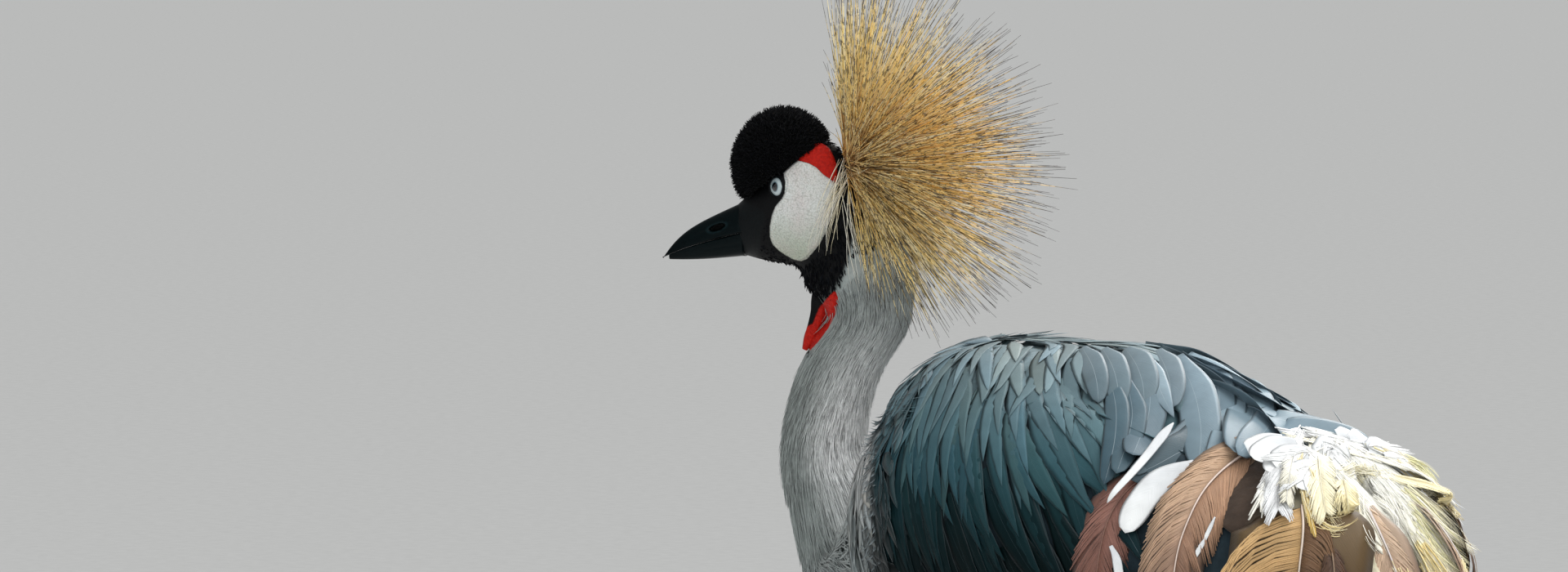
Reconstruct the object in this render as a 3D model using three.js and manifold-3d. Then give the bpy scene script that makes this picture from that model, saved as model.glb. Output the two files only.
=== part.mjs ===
// Grey crowned crane (Balearica regulorum), adult, standing with a relaxed S-shaped neck and the head turned to its left.
// Life size, millimetres, +Z up. The body faces -X and the bird's left side is towards -Y.
// The origin is the middle of the bounding box's base, on the floor under the feet.
import * as THREE from "three";
import { mergeVertices } from "three/addons/utils/BufferGeometryUtils.js";
import Module from "manifold-3d";

// ---- driving dimensions, mm and degrees ----
const HOCK_HEIGHT = 226; // the backward-pointing joint of the leg
const LEG_SPREAD = 44; // each leg's distance from the midline
const FOOT_X = 4; // where the toes meet, along the body
const HEAD_YAW = 29; // the head's turn to the left of the body's axis
const HEAD_AT = [-186, -70, 701.2]; // midline point between the eyes' backs
const BILL = { base: 21, tip: 70 }; // along the head's own forward axis
const EYE = { ahead: -8.5, up: 2.1, side: 12.4, radius: 8.6 };
const CAP = { ahead: -5, up: 14, long: 32, high: 34, wide: 25.5 };
const CREST = { ahead: -41, up: 9, tilt: 12 };
const GAP = 0.4; // clearance between neighbouring pieces
const SEGMENTS = 22; // facets round the trunk and neck

const D2R = Math.PI / 180;
const V = (x, y, z) => new THREE.Vector3(x, y, z);
const wasm = await Module();
wasm.setup();

// ---- small tools ----
// A smooth curve through the rows of a table, one column at a time.
function spline(rows, t) {
  const n = rows.length - 1;
  const k = Math.min(Math.floor(t), n - 1);
  const f = t - k;
  const at = (i) => {
    if (i < 0) return rows[0].map((v, c) => 2 * v - rows[1][c]);
    if (i > n) return rows[n].map((v, c) => 2 * v - rows[n - 1][c]);
    return rows[i];
  };
  const [a, b, c, d] = [at(k - 1), at(k), at(k + 1), at(k + 2)];
  return b.map(
    (_, j) =>
      b[j] +
      0.5 *
        f *
        (c[j] - a[j] +
          f * (2 * a[j] - 5 * b[j] + 4 * c[j] - d[j] + f * (3 * (b[j] - c[j]) + d[j] - a[j]))),
  );
}
const power = (v, e) => Math.sign(v) * Math.pow(Math.abs(v), e);
const smooth = (lo, hi, v) => {
  const t = Math.min(1, Math.max(0, (v - lo) / (hi - lo)));
  return t * t * (3 - 2 * t);
};

// A closed surface over a list of rings of equal length, each end drawn to its ring's centre.
function skin(rings, startAt, endAt) {
  const m = rings[0].length;
  const pos = [];
  rings.forEach((r) => r.forEach((p) => pos.push(p.x, p.y, p.z)));
  const mid = (r) => r.reduce((s, p) => s.add(p), V(0, 0, 0)).multiplyScalar(1 / m);
  const a = startAt || mid(rings[0]);
  const b = endAt || mid(rings[rings.length - 1]);
  pos.push(a.x, a.y, a.z, b.x, b.y, b.z);
  const ia = rings.length * m;
  const index = [];
  for (let i = 0; i + 1 < rings.length; i++)
    for (let j = 0; j < m; j++) {
      const p = i * m + j,
        q = i * m + ((j + 1) % m);
      index.push(p, q, q + m, p, q + m, p + m);
    }
  for (let j = 0; j < m; j++) {
    index.push(ia, (j + 1) % m, j);
    const o = (rings.length - 1) * m;
    index.push(ia + 1, o + j, o + ((j + 1) % m));
  }
  const g = new THREE.BufferGeometry();
  g.setAttribute("position", new THREE.Float32BufferAttribute(pos, 3));
  g.setIndex(index);
  return solid(g);
}

// A three.js geometry as a closed solid, whichever way its faces were wound.
function solid(geometry) {
  const g = geometry.clone();
  g.deleteAttribute("normal");
  g.deleteAttribute("uv");
  const merged = mergeVertices(g, 1e-4);
  const make = (flip) => {
    const tri = new Uint32Array(merged.index.array);
    if (flip)
      for (let i = 0; i < tri.length; i += 3) [tri[i + 1], tri[i + 2]] = [tri[i + 2], tri[i + 1]];
    return new wasm.Manifold(
      new wasm.Mesh({ numProp: 3, vertProperties: new Float32Array(merged.attributes.position.array), triVerts: tri }),
    );
  };
  const made = make(false);
  return made.volume() < 0 ? make(true) : made;
}
// A ball stretched along three axes of a frame.
function ball(centre, axes, radii, grow = 0, across = 20, up = 14) {
  const g = new THREE.SphereGeometry(1, across, up);
  const m = new THREE.Matrix4().makeBasis(
    axes[0].clone().multiplyScalar(radii[0] + grow),
    axes[1].clone().multiplyScalar(radii[1] + grow),
    axes[2].clone().multiplyScalar(radii[2] + grow),
  );
  m.setPosition(centre);
  g.applyMatrix4(m);
  return solid(g);
}
// A half-space as a large box: it keeps what lies on the side of the plane away from its normal.
function behind(point, normal) {
  const g = new THREE.BoxGeometry(2400, 2400, 1200);
  g.translate(0, 0, -600);
  g.applyQuaternion(new THREE.Quaternion().setFromUnitVectors(V(0, 0, 1), normal.clone().normalize()));
  g.translate(point.x, point.y, point.z);
  return solid(g);
}
const largest = (s) => {
  const all = s.decompose();
  return all.length < 2 ? s : all.sort((p, q) => q.volume() - p.volume())[0];
};
// A tube along a table of rows [x, y, z, half-width, half-depth, bend], whose wide direction follows wide(row parameter)
// and whose two edges are bent inward by the last column.
function tube(rows, wide, { steps = 12, round = 12, grow = 0, pow = 1, floor = null, inward = null } = {}) {
  const n = rows.length - 1;
  const rings = [];
  for (let i = 0; i <= steps; i++) {
    const t = (i / steps) * n;
    const r = spline(rows, t);
    const ahead = spline(rows, Math.min(n, t + 0.02));
    const back = spline(rows, Math.max(0, t - 0.02));
    const T = V(ahead[0] - back[0], ahead[1] - back[1], ahead[2] - back[2]).normalize();
    const W = (typeof wide === "function" ? wide(t) : wide).clone();
    const A = W.addScaledVector(T, -W.dot(T)).normalize();
    const B = V().crossVectors(T, A);
    const ring = [];
    for (let j = 0; j < round; j++) {
      const q = (2 * Math.PI * (j + 0.5)) / round;
      const p = V(r[0], r[1], r[2])
        .addScaledVector(A, (Math.max(0.3, r[3]) + grow) * power(Math.cos(q), pow))
        .addScaledVector(B, (Math.max(0.3, r[4]) + grow) * power(Math.sin(q), pow));
      if (inward) p.addScaledVector(inward, r[5] * Math.pow(Math.cos(q), 2));
      if (floor !== null) p.z = Math.max(floor, p.z);
      ring.push(p);
    }
    rings.push(ring);
  }
  return skin(rings);
}

// ---- the head's own frame ----
const yawed = (deg) => V(-Math.cos(deg * D2R), -Math.sin(deg * D2R), 0); // the way a piece with that turn faces
const AHEAD = yawed(HEAD_YAW);
const UP = V(0, 0, 1);
const LEFT = V().crossVectors(UP, AHEAD);
const H = (ahead, up, left = 0) =>
  V(...HEAD_AT).addScaledVector(AHEAD, ahead).addScaledVector(UP, up).addScaledVector(LEFT, left);
const headRow = (ahead, up, ...rest) => [...H(ahead, up).toArray(), ...rest];

// ---- the body from the bill's base to the rump ----
// Each row: centre, turn to the left, slope of the way to the tail, half-width, height to the back, depth to the belly.
const BODY = [
  headRow(21, -25, HEAD_YAW, -12, 10.5, 15.5, 16),
  headRow(6, -19, HEAD_YAW, 0, 17, 24, 24.5),
  headRow(-10, -14, HEAD_YAW, 5, 22.5, 34, 31.5),
  headRow(-26, -15, HEAD_YAW, 30, 24, 36, 34),
  headRow(-43, -30, HEAD_YAW, 58, 24, 34, 33),
  headRow(-52, -55, HEAD_YAW, 82, 23.5, 32, 31),
  headRow(-54, -77, HEAD_YAW - 1, 98, 23, 27.5, 21),
  [-153.5, -44, 600, 25, 108, 23, 23.5, 24],
  [-172, -38, 571.5, 22, 106, 24, 24.5, 24],
  [-184, -30, 543, 18, 92, 26, 27, 26],
  [-181, -22, 515, 13, 75, 31, 34, 31],
  [-164, -13, 482, 8, 58, 43, 49, 42],
  [-130, -4, 496, 3, 22, 73, 98, 88],
  [-86, 0, 502, 0, 8, 97, 114, 104],
  [-25, 0, 502, 0, 6, 105, 116, 104],
  [40, 0, 502, 0, 10, 102, 113, 100],
  [100, 0, 487, 0, 18, 87, 93, 80],
  [155, 0, 466, 0, 26, 66, 70, 56],
  [200, 0, 440, 0, 30, 38, 40, 32],
  [235, 0, 418, 0, 32, 10, 11, 9],
];
const STATION = { face: 0, nape: 5, neck: 8.5, shoulder: 11, rump: 19 };
function bodyFrame(t) {
  const r = spline(BODY, t);
  const face = yawed(r[3]);
  const back = face.clone().negate();
  const [c, s] = [Math.cos(r[4] * D2R), Math.sin(r[4] * D2R)];
  return {
    centre: V(r[0], r[1], r[2]),
    along: back.clone().multiplyScalar(c).addScaledVector(UP, -s),
    dorsal: back.clone().multiplyScalar(s).addScaledVector(UP, c),
    left: V().crossVectors(UP, face),
    half: r[5],
    over: r[6],
    under: r[7],
  };
}
function bodyPoint(t, q, grow = 0) {
  const f = bodyFrame(t);
  const squareness = 0.93 - 0.06 * smooth(11, 14, t) - 0.2 * smooth(11.2, 12.6, t) * (1 - smooth(13.4, 15, t));
  const a = (f.half + grow) * power(Math.cos(q), squareness);
  const b = (Math.sin(q) > 0 ? f.over + grow : f.under + grow) * power(Math.sin(q), squareness);
  return f.centre.clone().addScaledVector(f.left, a).addScaledVector(f.dorsal, b);
}
// A length of the body. The grown copy that its neighbours are cut with starts where the length before it ends.
function bodySolid(from, to, steps, round, grow = 0, lead = null) {
  const stations = Array.from({ length: steps + 1 }, (_, i) => from + ((to - from) * i) / steps);
  if (lead !== null) stations.unshift(lead);
  return skin(
    stations.map((t) => Array.from({ length: round }, (_, j) => bodyPoint(t, (2 * Math.PI * (j + 0.5)) / round, grow))),
  );
}
// Each length starts a little after the one before it ends, on the same curve.
const after = (t, gaps = 4) => t + (gaps * GAP) / bodyFrame(t).centre.distanceTo(bodyFrame(t + 0.01).centre) / 100;
const LENGTHS = {
  head: [STATION.face, STATION.nape, 12, 18],
  neckUpper: [after(STATION.nape), STATION.neck, 8, 20],
  neckLower: [after(STATION.neck), STATION.shoulder, 7, 20],
  trunk: [after(STATION.shoulder, 3), STATION.rump, 15, SEGMENTS],
};
const headPart = bodySolid(...LENGTHS.head);
const neckUpper = bodySolid(...LENGTHS.neckUpper);
const neckLower = bodySolid(...LENGTHS.neckLower);
const fleshGrown = {
  head: bodySolid(...LENGTHS.head, GAP),
  neckUpper: bodySolid(...LENGTHS.neckUpper, GAP, STATION.nape),
  neckLower: bodySolid(...LENGTHS.neckLower, GAP, STATION.neck),
  trunk: bodySolid(...LENGTHS.trunk, GAP, STATION.shoulder),
};
const trunk = largest(bodySolid(...LENGTHS.trunk).subtract(fleshGrown.neckLower));
const join = (list) => list.reduce((a, b) => a.add(b));
const neckAndHead = join([fleshGrown.head, fleshGrown.neckUpper, fleshGrown.neckLower]);
const fleshAll = join([neckAndHead, fleshGrown.trunk]);

// ---- eyes, cap, bill, throat flap ----
const headAxes = [AHEAD, LEFT, UP];
const eyeAt = (side) => H(EYE.ahead, EYE.up, side * EYE.side);
const eye = (side, grow = 0) => ball(eyeAt(side), headAxes, [EYE.radius, EYE.radius, EYE.radius], grow, 12, 8);
const eyes = eye(1, GAP).add(eye(-1, GAP));

const capBrow = H(22, -9); // the cap ends on a slanting line from the bill's base to the nape
const capSlope = 36 * D2R;
const capDown = AHEAD.clone().multiplyScalar(-Math.sin(capSlope)).addScaledVector(UP, -Math.cos(capSlope));
function capSolid(grow = 0) {
  const g = ball(H(CAP.ahead, CAP.up), headAxes, [CAP.long, CAP.wide, CAP.high], grow, 18, 12);
  return g.intersect(behind(capBrow.clone().addScaledVector(capDown, grow), capDown));
}
const cap = largest(capSolid().subtract(neckAndHead).subtract(eyes));
const head = headPart.subtract(eyes);

// Bill profile: the culmen, the line of the mouth and the lower edge, by distance ahead of the eye.
const billShare = (u) => Math.min(1, Math.max(0, (u - BILL.base) / (BILL.tip - BILL.base)));
const culmen = (u) => -8.6 - 22.5 * billShare(u) - 11.4 * Math.pow(billShare(u), 5);
const mouth = (u) => -26.6 - 12.6 * billShare(u) - 3.0 * Math.pow(billShare(u), 4);
const lowerEdge = (u) => -40.6 - 2.6 * Math.sin(Math.PI * 0.62 * billShare(u));
const billHalf = (u) => 10.3 * Math.pow(1 - 0.93 * billShare(u), 0.85) + 0.5;
function mandible(upper, steps = 8, round = 8) {
  const rings = [];
  for (let i = 0; i <= steps; i++) {
    const s = i / steps;
    const u = BILL.base + 1.5 + (BILL.tip - BILL.base - 1.7 - (upper ? 0 : 2.2)) * s;
    const edge = mouth(u) + (upper ? 0.2 : -0.2);
    const far = upper ? Math.max(culmen(u), edge + 0.7) : Math.min(lowerEdge(u), edge - 0.7);
    const w = billHalf(u) * (upper ? 1 : 0.94);
    const ring = [];
    for (let j = 0; j <= round; j++) {
      const q = (Math.PI * j) / round;
      ring.push(H(u, edge + (far - edge) * power(Math.sin(q), 0.85), w * power(Math.cos(q), 0.8)));
    }
    for (let j = 1; j < 4; j++) ring.push(H(u, edge, w * (-1 + j / 2)));
    rings.push(ring);
  }
  return skin(rings);
}
const billCut = join([fleshGrown.head, capSolid(GAP)]);
const billUpper = largest(mandible(true).subtract(billCut));
const billLower = largest(mandible(false).subtract(billCut));

const throatRows = [
  headRow(-33, -56, 5, 6),
  headRow(-31, -64, 6, 7),
  headRow(-29.5, -73, 6, 6.5),
  headRow(-26, -81, 5, 5),
  headRow(-22, -89, 3.6, 3.6),
  headRow(-19, -96, 1.6, 1.6),
];
const throatFlap = largest(tube(throatRows, LEFT, { steps: 7, round: 10 }).subtract(neckAndHead));

// ---- crest: a round fan of bristles, its outline out to their tips ----
// Length of the bristles by their angle off the fan's axis: upward, to the side and downward.
const CREST_REACH = [
  [0, 140, 140, 140],
  [18, 140, 135, 136],
  [36, 139, 127, 129],
  [54, 135, 114, 117],
  [72, 122, 94, 93],
  [90, 94, 72, 62],
];
const CREST_EDGE = { up: 91, side: 64, down: 84 }; // the fan's outermost bristles, degrees off its axis
function roundTheFan(beta, up, aside, down) {
  const lift = Math.cos(beta);
  return aside + (lift > 0 ? up - aside : down - aside) * lift * lift;
}
function crestReach(alpha, beta) {
  const row = spline(CREST_REACH, (alpha / D2R / 90) * (CREST_REACH.length - 1));
  const tuft = 1 + 0.022 * Math.cos(8 * beta) * Math.sin(alpha);
  return roundTheFan(beta, row[1], row[2], row[3]) * tuft;
}
function crestSolid() {
  const root = H(CREST.ahead, CREST.up);
  const tilt = CREST.tilt * D2R;
  const axis = AHEAD.clone().multiplyScalar(-Math.cos(tilt)).addScaledVector(UP, Math.sin(tilt));
  const over = AHEAD.clone().multiplyScalar(Math.sin(tilt)).addScaledVector(UP, Math.cos(tilt));
  const round = 24;
  const ringAt = (share, out) =>
    Array.from({ length: round }, (_, j) => {
      const beta = (2 * Math.PI * j) / round;
      const alpha = roundTheFan(beta, CREST_EDGE.up, CREST_EDGE.side, CREST_EDGE.down) * D2R * share;
      const r = crestReach(alpha, beta) * out;
      return root
        .clone()
        .addScaledVector(axis, r * Math.cos(alpha))
        .addScaledVector(over, r * Math.sin(alpha) * Math.cos(beta))
        .addScaledVector(LEFT, r * Math.sin(alpha) * Math.sin(beta));
    });
  const rings = [ringAt(1, 0.1), ringAt(1, 0.5), ringAt(1, 0.9)];
  for (let i = 0; i < 8; i++) rings.push(ringAt(1 - i / 8, 1));
  return skin(rings, root.clone(), root.clone().addScaledVector(axis, crestReach(0, 0)));
}
const crest = largest(crestSolid().subtract(neckAndHead).subtract(capSolid(GAP)));

// ---- wings, plumes and tail ----
const side = (s, rows) => rows.map((r) => [r[0], s * r[1], ...r.slice(2)]);
// Folded wing from the wrist to the primaries' tips: centre, half-height, half-thickness, wrap round the body.
const WING = [
  [-106, -80, 492, 18, 5, 2],
  [-80, -96, 502, 62, 15, 12],
  [-28, -109, 506, 80, 18, 26],
  [40, -110, 507, 86, 20, 32],
  [112, -98, 489, 80, 18, 28],
  [178, -77, 466, 68, 15, 18],
  [238, -57, 434, 42, 11, 9],
  [290, -42, 406, 23, 7, 3],
  [330, -32, 386, 7, 3, 0],
];
const wingWide = V(0, 0, 1);
const wingRaw = (s, grow = 0) =>
  tube(side(s, WING), wingWide, { steps: 13, round: 12, grow, pow: 0.95, inward: V(0, s, 0) });
// The long inner flight feathers and plumes, arching over the rump and drooping behind it.
const PLUMES = [
  [118, -26, 572, 18, 5, 2],
  [154, -38, 558, 36, 9, 5],
  [190, -43, 544, 46, 11, 8],
  [224, -39, 522, 42, 12, 8],
  [251, -33, 492, 34, 12, 6],
  [266, -29, 452, 28, 10, 4],
  [275, -26, 412, 20, 7, 2],
  [279, -24, 376, 7, 3, 0],
];
const plumesWide = (s) => (t) => V(0, s * -0.85, -0.5).normalize();
const plumesRaw = (s, grow = 0) =>
  tube(side(s, PLUMES), plumesWide(s), {
    steps: 11,
    round: 10,
    grow,
    pow: 0.9,
    inward: V(-0.6, 0, -0.8),
  });
const TAIL = [
  [186, 0, 446, 20, 9],
  [228, 0, 425, 34, 9],
  [276, 0, 396, 40, 7],
  [322, 0, 364, 34, 5],
  [346, 0, 346, 16, 2],
];
const tailRaw = (grow = 0) => tube(TAIL, V(0, 1, 0), { steps: 6, round: 8, grow });

const wings = {},
  plumes = {};
for (const [name, s] of [["left", 1], ["right", -1]]) {
  const half = behind(V(0, -s * 0.6, 0), V(0, s, 0));
  wings[name] = largest(wingRaw(s).intersect(half).subtract(fleshAll));
  plumes[name] = largest(plumesRaw(s).intersect(half).subtract(fleshGrown.trunk).subtract(wingRaw(s, GAP)));
}
const wingsGrown = join([wingRaw(1, GAP), wingRaw(-1, GAP), plumesRaw(1, GAP), plumesRaw(-1, GAP)]);
const tail = largest(tailRaw().subtract(fleshGrown.trunk).subtract(wingsGrown));

// ---- legs and feet ----
const TOES = {
  middle: { turn: -3, long: 84, thick: 5.2 },
  inner: { turn: -34, long: 60, thick: 4.8 },
  outer: { turn: 30, long: 66, thick: 4.8 },
  hind: { turn: 172, long: 40, thick: 4.4 },
};
const CLAW = 13;
const footCentre = (s) => V(FOOT_X, -s * LEG_SPREAD, 0);
function toeRows(s, toe, from, to) {
  const dir = yawed(s * toe.turn);
  const rows = [];
  const n = 5;
  for (let i = 0; i <= n; i++) {
    const q = from + ((to - from) * i) / n;
    const along = q * toe.long;
    const knuckle = 1 + 0.1 * Math.cos(q * 6 * Math.PI);
    const r = toe.thick * (1 - 0.36 * q) * knuckle;
    const c = footCentre(s).addScaledVector(dir, along);
    const lift = 6 * Math.pow(1 - Math.min(1, q * 1.6), 2);
    rows.push([c.x, c.y, r * 0.8 + lift, r, r]);
  }
  return rows;
}
function clawRows(s, toe) {
  const dir = yawed(s * toe.turn);
  const rows = [];
  for (let i = 0; i <= 4; i++) {
    const q = i / 4;
    const c = footCentre(s).addScaledVector(dir, toe.long + 0.5 + CLAW * q);
    const r = toe.thick * 0.56 * Math.pow(1 - q, 0.8) + 0.35;
    rows.push([c.x, c.y, toe.thick * 0.62 * 0.8 + 1.1 * Math.sin(q * Math.PI) - 1.0 * q, r, r]);
  }
  return rows;
}
const legRows = (s) => ({
  thigh: [
    [-6, -s * 42, 438, 30, 44],
    [-2, -s * (LEG_SPREAD + 1), 405, 27, 38],
    [10, -s * (LEG_SPREAD + 2), 368, 18, 24],
    [24, -s * (LEG_SPREAD + 1), 332, 11.5, 14],
    [34, -s * LEG_SPREAD, 304, 8, 9],
  ],
  shank: [
    [33.5, -s * LEG_SPREAD, 309, 6.4, 7],
    [42, -s * LEG_SPREAD, 280, 6.2, 6.8],
    [50, -s * LEG_SPREAD, 250, 7.2, 8],
    [54, -s * LEG_SPREAD, 234, 9.2, 11],
    [53, -s * LEG_SPREAD, HOCK_HEIGHT - 8, 9, 10.5],
    [48, -s * LEG_SPREAD, 196, 6.2, 7],
    [34, -s * LEG_SPREAD, 130, 5.4, 6.4],
    [18, -s * LEG_SPREAD, 60, 5.6, 6.6],
    [FOOT_X + 3.5, -s * LEG_SPREAD, 20, 7.4, 8.4],
    [FOOT_X + 1, -s * LEG_SPREAD, 10, 8.2, 9],
  ],
});
const legs = {};
for (const [name, s] of [["left", 1], ["right", -1]]) {
  const rows = legRows(s);
  const wide = V(0, 1, 0);
  const shankGrown = tube(rows.shank, wide, { steps: 15, round: 8, grow: GAP });
  const thigh = largest(
    tube(rows.thigh, wide, { steps: 7, round: 12 })
      .subtract(fleshGrown.trunk)
      .subtract(wingsGrown)
      .subtract(shankGrown),
  );
  const shank = tube(rows.shank, wide, { steps: 15, round: 8 });
  const pad = ball(footCentre(s).setZ(6), [V(1, 0, 0), V(0, 1, 0), UP], [12, 11, 8], 0, 8, 6);
  const toes = Object.values(TOES).map((toe) =>
    tube(toeRows(s, toe, 0.02, 1), V(0, 0, 1).cross(yawed(s * toe.turn)), { steps: 6, round: 7, floor: 0 }),
  );
  const padFlat = pad.subtract(behind(V(0, 0, 0), UP));
  const foot = largest(join([padFlat, ...toes]).subtract(shankGrown));
  const claws = Object.fromEntries(
    Object.entries(TOES).map(([which, toe]) => [
      which,
      tube(clawRows(s, toe), V(0, 0, 1).cross(yawed(s * toe.turn)), { steps: 3, round: 6, floor: 0 }),
    ]),
  );
  legs[name] = { thigh, shank, foot, claws };
}

// ---- materials ----
const finish = (hex, roughness, metalness = 0) =>
  new THREE.MeshStandardMaterial({ color: new THREE.Color(hex), roughness, metalness });
const MATERIAL = {
  slate: finish("#5d6c76", 0.8),
  pale: finish("#a9adae", 0.85),
  black: finish("#0d0f11", 0.9),
  bill: finish("#20282c", 0.4),
  eye: finish("#a8b6bb", 0.1),
  red: finish("#b01612", 0.55),
  gold: finish("#c99a3c", 0.7),
  wing: finish("#8a6a4c", 0.75),
  plume: finish("#d8c98c", 0.75),
  leg: finish("#23262a", 0.6),
  claw: finish("#15171a", 0.45),
};

// ---- the model ----
const crane = new THREE.Group();
function put(name, made, material) {
  const m = made.getMesh();
  const g = new THREE.BufferGeometry();
  const pos = new Float32Array(m.numVert * 3);
  for (let i = 0; i < m.numVert; i++) pos.set(m.vertProperties.subarray(i * m.numProp, i * m.numProp + 3), i * 3);
  g.setAttribute("position", new THREE.BufferAttribute(pos, 3));
  g.setIndex(new THREE.BufferAttribute(new Uint32Array(m.triVerts), 1));
  g.computeVertexNormals();
  const mesh = new THREE.Mesh(g, material);
  mesh.name = name;
  crane.add(mesh);
}
put("head", head, MATERIAL.black);
put("crown_cap", cap, MATERIAL.black);
put("bill_upper", billUpper, MATERIAL.bill);
put("bill_lower", billLower, MATERIAL.bill);
put("eye_left", eye(1), MATERIAL.eye);
put("eye_right", eye(-1), MATERIAL.eye);
put("throat_flap", throatFlap, MATERIAL.red);
put("crest", crest, MATERIAL.gold);
put("neck_upper", neckUpper, MATERIAL.pale);
put("neck_lower", neckLower, MATERIAL.pale);
put("trunk", trunk, MATERIAL.slate);
put("tail", tail, MATERIAL.black);
for (const name of ["left", "right"]) {
  put("wing_" + name, wings[name], MATERIAL.wing);
  put("plumes_" + name, plumes[name], MATERIAL.plume);
  put("thigh_" + name, legs[name].thigh, MATERIAL.slate);
  put("shank_" + name, legs[name].shank, MATERIAL.leg);
  put("foot_" + name, legs[name].foot, MATERIAL.leg);
  for (const which of Object.keys(TOES)) put(`claw_${which}_${name}`, legs[name].claws[which], MATERIAL.claw);
}
// The origin is put at the middle of the box's base.
const box = new THREE.Box3().setFromObject(crane);
crane.position.set(-(box.min.x + box.max.x) / 2, -(box.min.y + box.max.y) / 2, -box.min.z);
crane.name = "grey_crowned_crane";

export default crane;
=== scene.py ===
import math

import bpy
import numpy as np
from mathutils import Matrix, Vector
from mathutils.bvhtree import BVHTree
from mathutils.kdtree import KDTree


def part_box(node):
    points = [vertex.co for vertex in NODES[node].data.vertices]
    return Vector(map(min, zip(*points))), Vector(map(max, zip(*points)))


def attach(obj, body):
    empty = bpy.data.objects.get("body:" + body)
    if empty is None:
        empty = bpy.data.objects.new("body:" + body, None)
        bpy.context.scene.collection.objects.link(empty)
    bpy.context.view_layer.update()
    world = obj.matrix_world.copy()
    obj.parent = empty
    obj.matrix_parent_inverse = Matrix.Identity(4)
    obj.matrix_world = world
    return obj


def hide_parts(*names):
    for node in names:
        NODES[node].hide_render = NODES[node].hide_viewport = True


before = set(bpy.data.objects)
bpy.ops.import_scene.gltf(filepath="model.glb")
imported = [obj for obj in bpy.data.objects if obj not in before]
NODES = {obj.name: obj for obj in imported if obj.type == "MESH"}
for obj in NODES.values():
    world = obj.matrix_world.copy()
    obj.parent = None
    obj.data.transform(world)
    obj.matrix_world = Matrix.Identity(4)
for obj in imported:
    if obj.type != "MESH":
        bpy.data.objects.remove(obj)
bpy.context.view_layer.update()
rng = np.random.default_rng(20519)
D2R = math.pi / 180

# ---------------------------------------------------------------- the bird's own measures, mm
HEAD_YAW = 29.0
HEAD_AT = np.array([-186.0, -70.0, 701.2])
BILL_BASE, BILL_TIP = 21.0, 70.0
EYE = {"ahead": -8.5, "up": 2.1, "side": 12.4, "radius": 8.6, "forward": 27.0}
CAP = {"ahead": -5.0, "up": 14.0, "long": 32.0, "high": 34.0, "wide": 25.5}
CREST = {"ahead": -41.0, "up": 9.0, "tilt": 12.0}
CREST_REACH = np.array(
    [[0, 140, 140, 140], [18, 140, 135, 136], [36, 139, 127, 129], [54, 135, 114, 117], [72, 122, 94, 93], [90, 94, 72, 62]],
    float,
)
CREST_EDGE = (91.0, 64.0, 84.0)

UP = np.array([0.0, 0.0, 1.0])


def yawed(deg):
    deg = np.asarray(deg, float) * D2R
    return np.stack([-np.cos(deg), -np.sin(deg), np.zeros_like(deg)], -1)


AHEAD = yawed(HEAD_YAW)
LEFT = np.cross(UP, AHEAD)


def H(ahead, up, left=0.0):
    ahead, up, left = np.broadcast_arrays(np.asarray(ahead, float), np.asarray(up, float), np.asarray(left, float))
    return HEAD_AT + ahead[..., None] * AHEAD + up[..., None] * UP + left[..., None] * LEFT


def head_local(p):
    q = p - HEAD_AT
    return q @ AHEAD, q[..., 2], q @ LEFT


def head_row(ahead, up, *rest):
    return [*H(ahead, up).tolist(), *rest]


BODY = np.array(
    [
        head_row(21, -25, HEAD_YAW, -12, 10.5, 15.5, 16),
        head_row(6, -19, HEAD_YAW, 0, 17, 24, 24.5),
        head_row(-10, -14, HEAD_YAW, 5, 22.5, 34, 31.5),
        head_row(-26, -15, HEAD_YAW, 30, 24, 36, 34),
        head_row(-43, -30, HEAD_YAW, 58, 24, 34, 33),
        head_row(-52, -55, HEAD_YAW, 82, 23.5, 32, 31),
        head_row(-54, -77, HEAD_YAW - 1, 98, 23, 27.5, 21),
        [-153.5, -44, 600, 25, 108, 23, 23.5, 24],
        [-172, -38, 571.5, 22, 106, 24, 24.5, 24],
        [-184, -30, 543, 18, 92, 26, 27, 26],
        [-181, -22, 515, 13, 75, 31, 34, 31],
        [-164, -13, 482, 8, 58, 43, 49, 42],
        [-130, -4, 496, 3, 22, 73, 98, 88],
        [-86, 0, 502, 0, 8, 97, 114, 104],
        [-25, 0, 502, 0, 6, 105, 116, 104],
        [40, 0, 502, 0, 10, 102, 113, 100],
        [100, 0, 487, 0, 18, 87, 93, 80],
        [155, 0, 466, 0, 26, 66, 70, 56],
        [200, 0, 440, 0, 30, 38, 40, 32],
        [235, 0, 418, 0, 32, 10, 11, 9],
    ],
    float,
)


def spline(rows, t):
    rows = np.asarray(rows, float)
    t = np.asarray(t, float)
    n = len(rows) - 1
    pad = np.vstack([2 * rows[0] - rows[1], rows, 2 * rows[-1] - rows[-2]])
    k = np.clip(np.floor(t).astype(int), 0, n - 1)
    f = (t - k)[..., None]
    a, b, c, d = pad[k], pad[k + 1], pad[k + 2], pad[k + 3]
    return b + 0.5 * f * (c - a + f * (2 * a - 5 * b + 4 * c - d + f * (3 * (b - c) + d - a)))


def smooth(lo, hi, v):
    t = np.clip((np.asarray(v, float) - lo) / (hi - lo), 0, 1)
    return t * t * (3 - 2 * t)


def power(v, e):
    return np.sign(v) * np.abs(v) ** e


def unit(v):
    return v / np.maximum(np.linalg.norm(v, axis=-1, keepdims=True), 1e-9)


def body_frame(t):
    r = spline(BODY, t)
    face = yawed(r[..., 3])
    back = -face
    c, s = np.cos(r[..., 4] * D2R)[..., None], np.sin(r[..., 4] * D2R)[..., None]
    return r[..., :3], back * c - UP * s, back * s + UP * c, np.cross(np.broadcast_to(UP, face.shape), face), r


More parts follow.
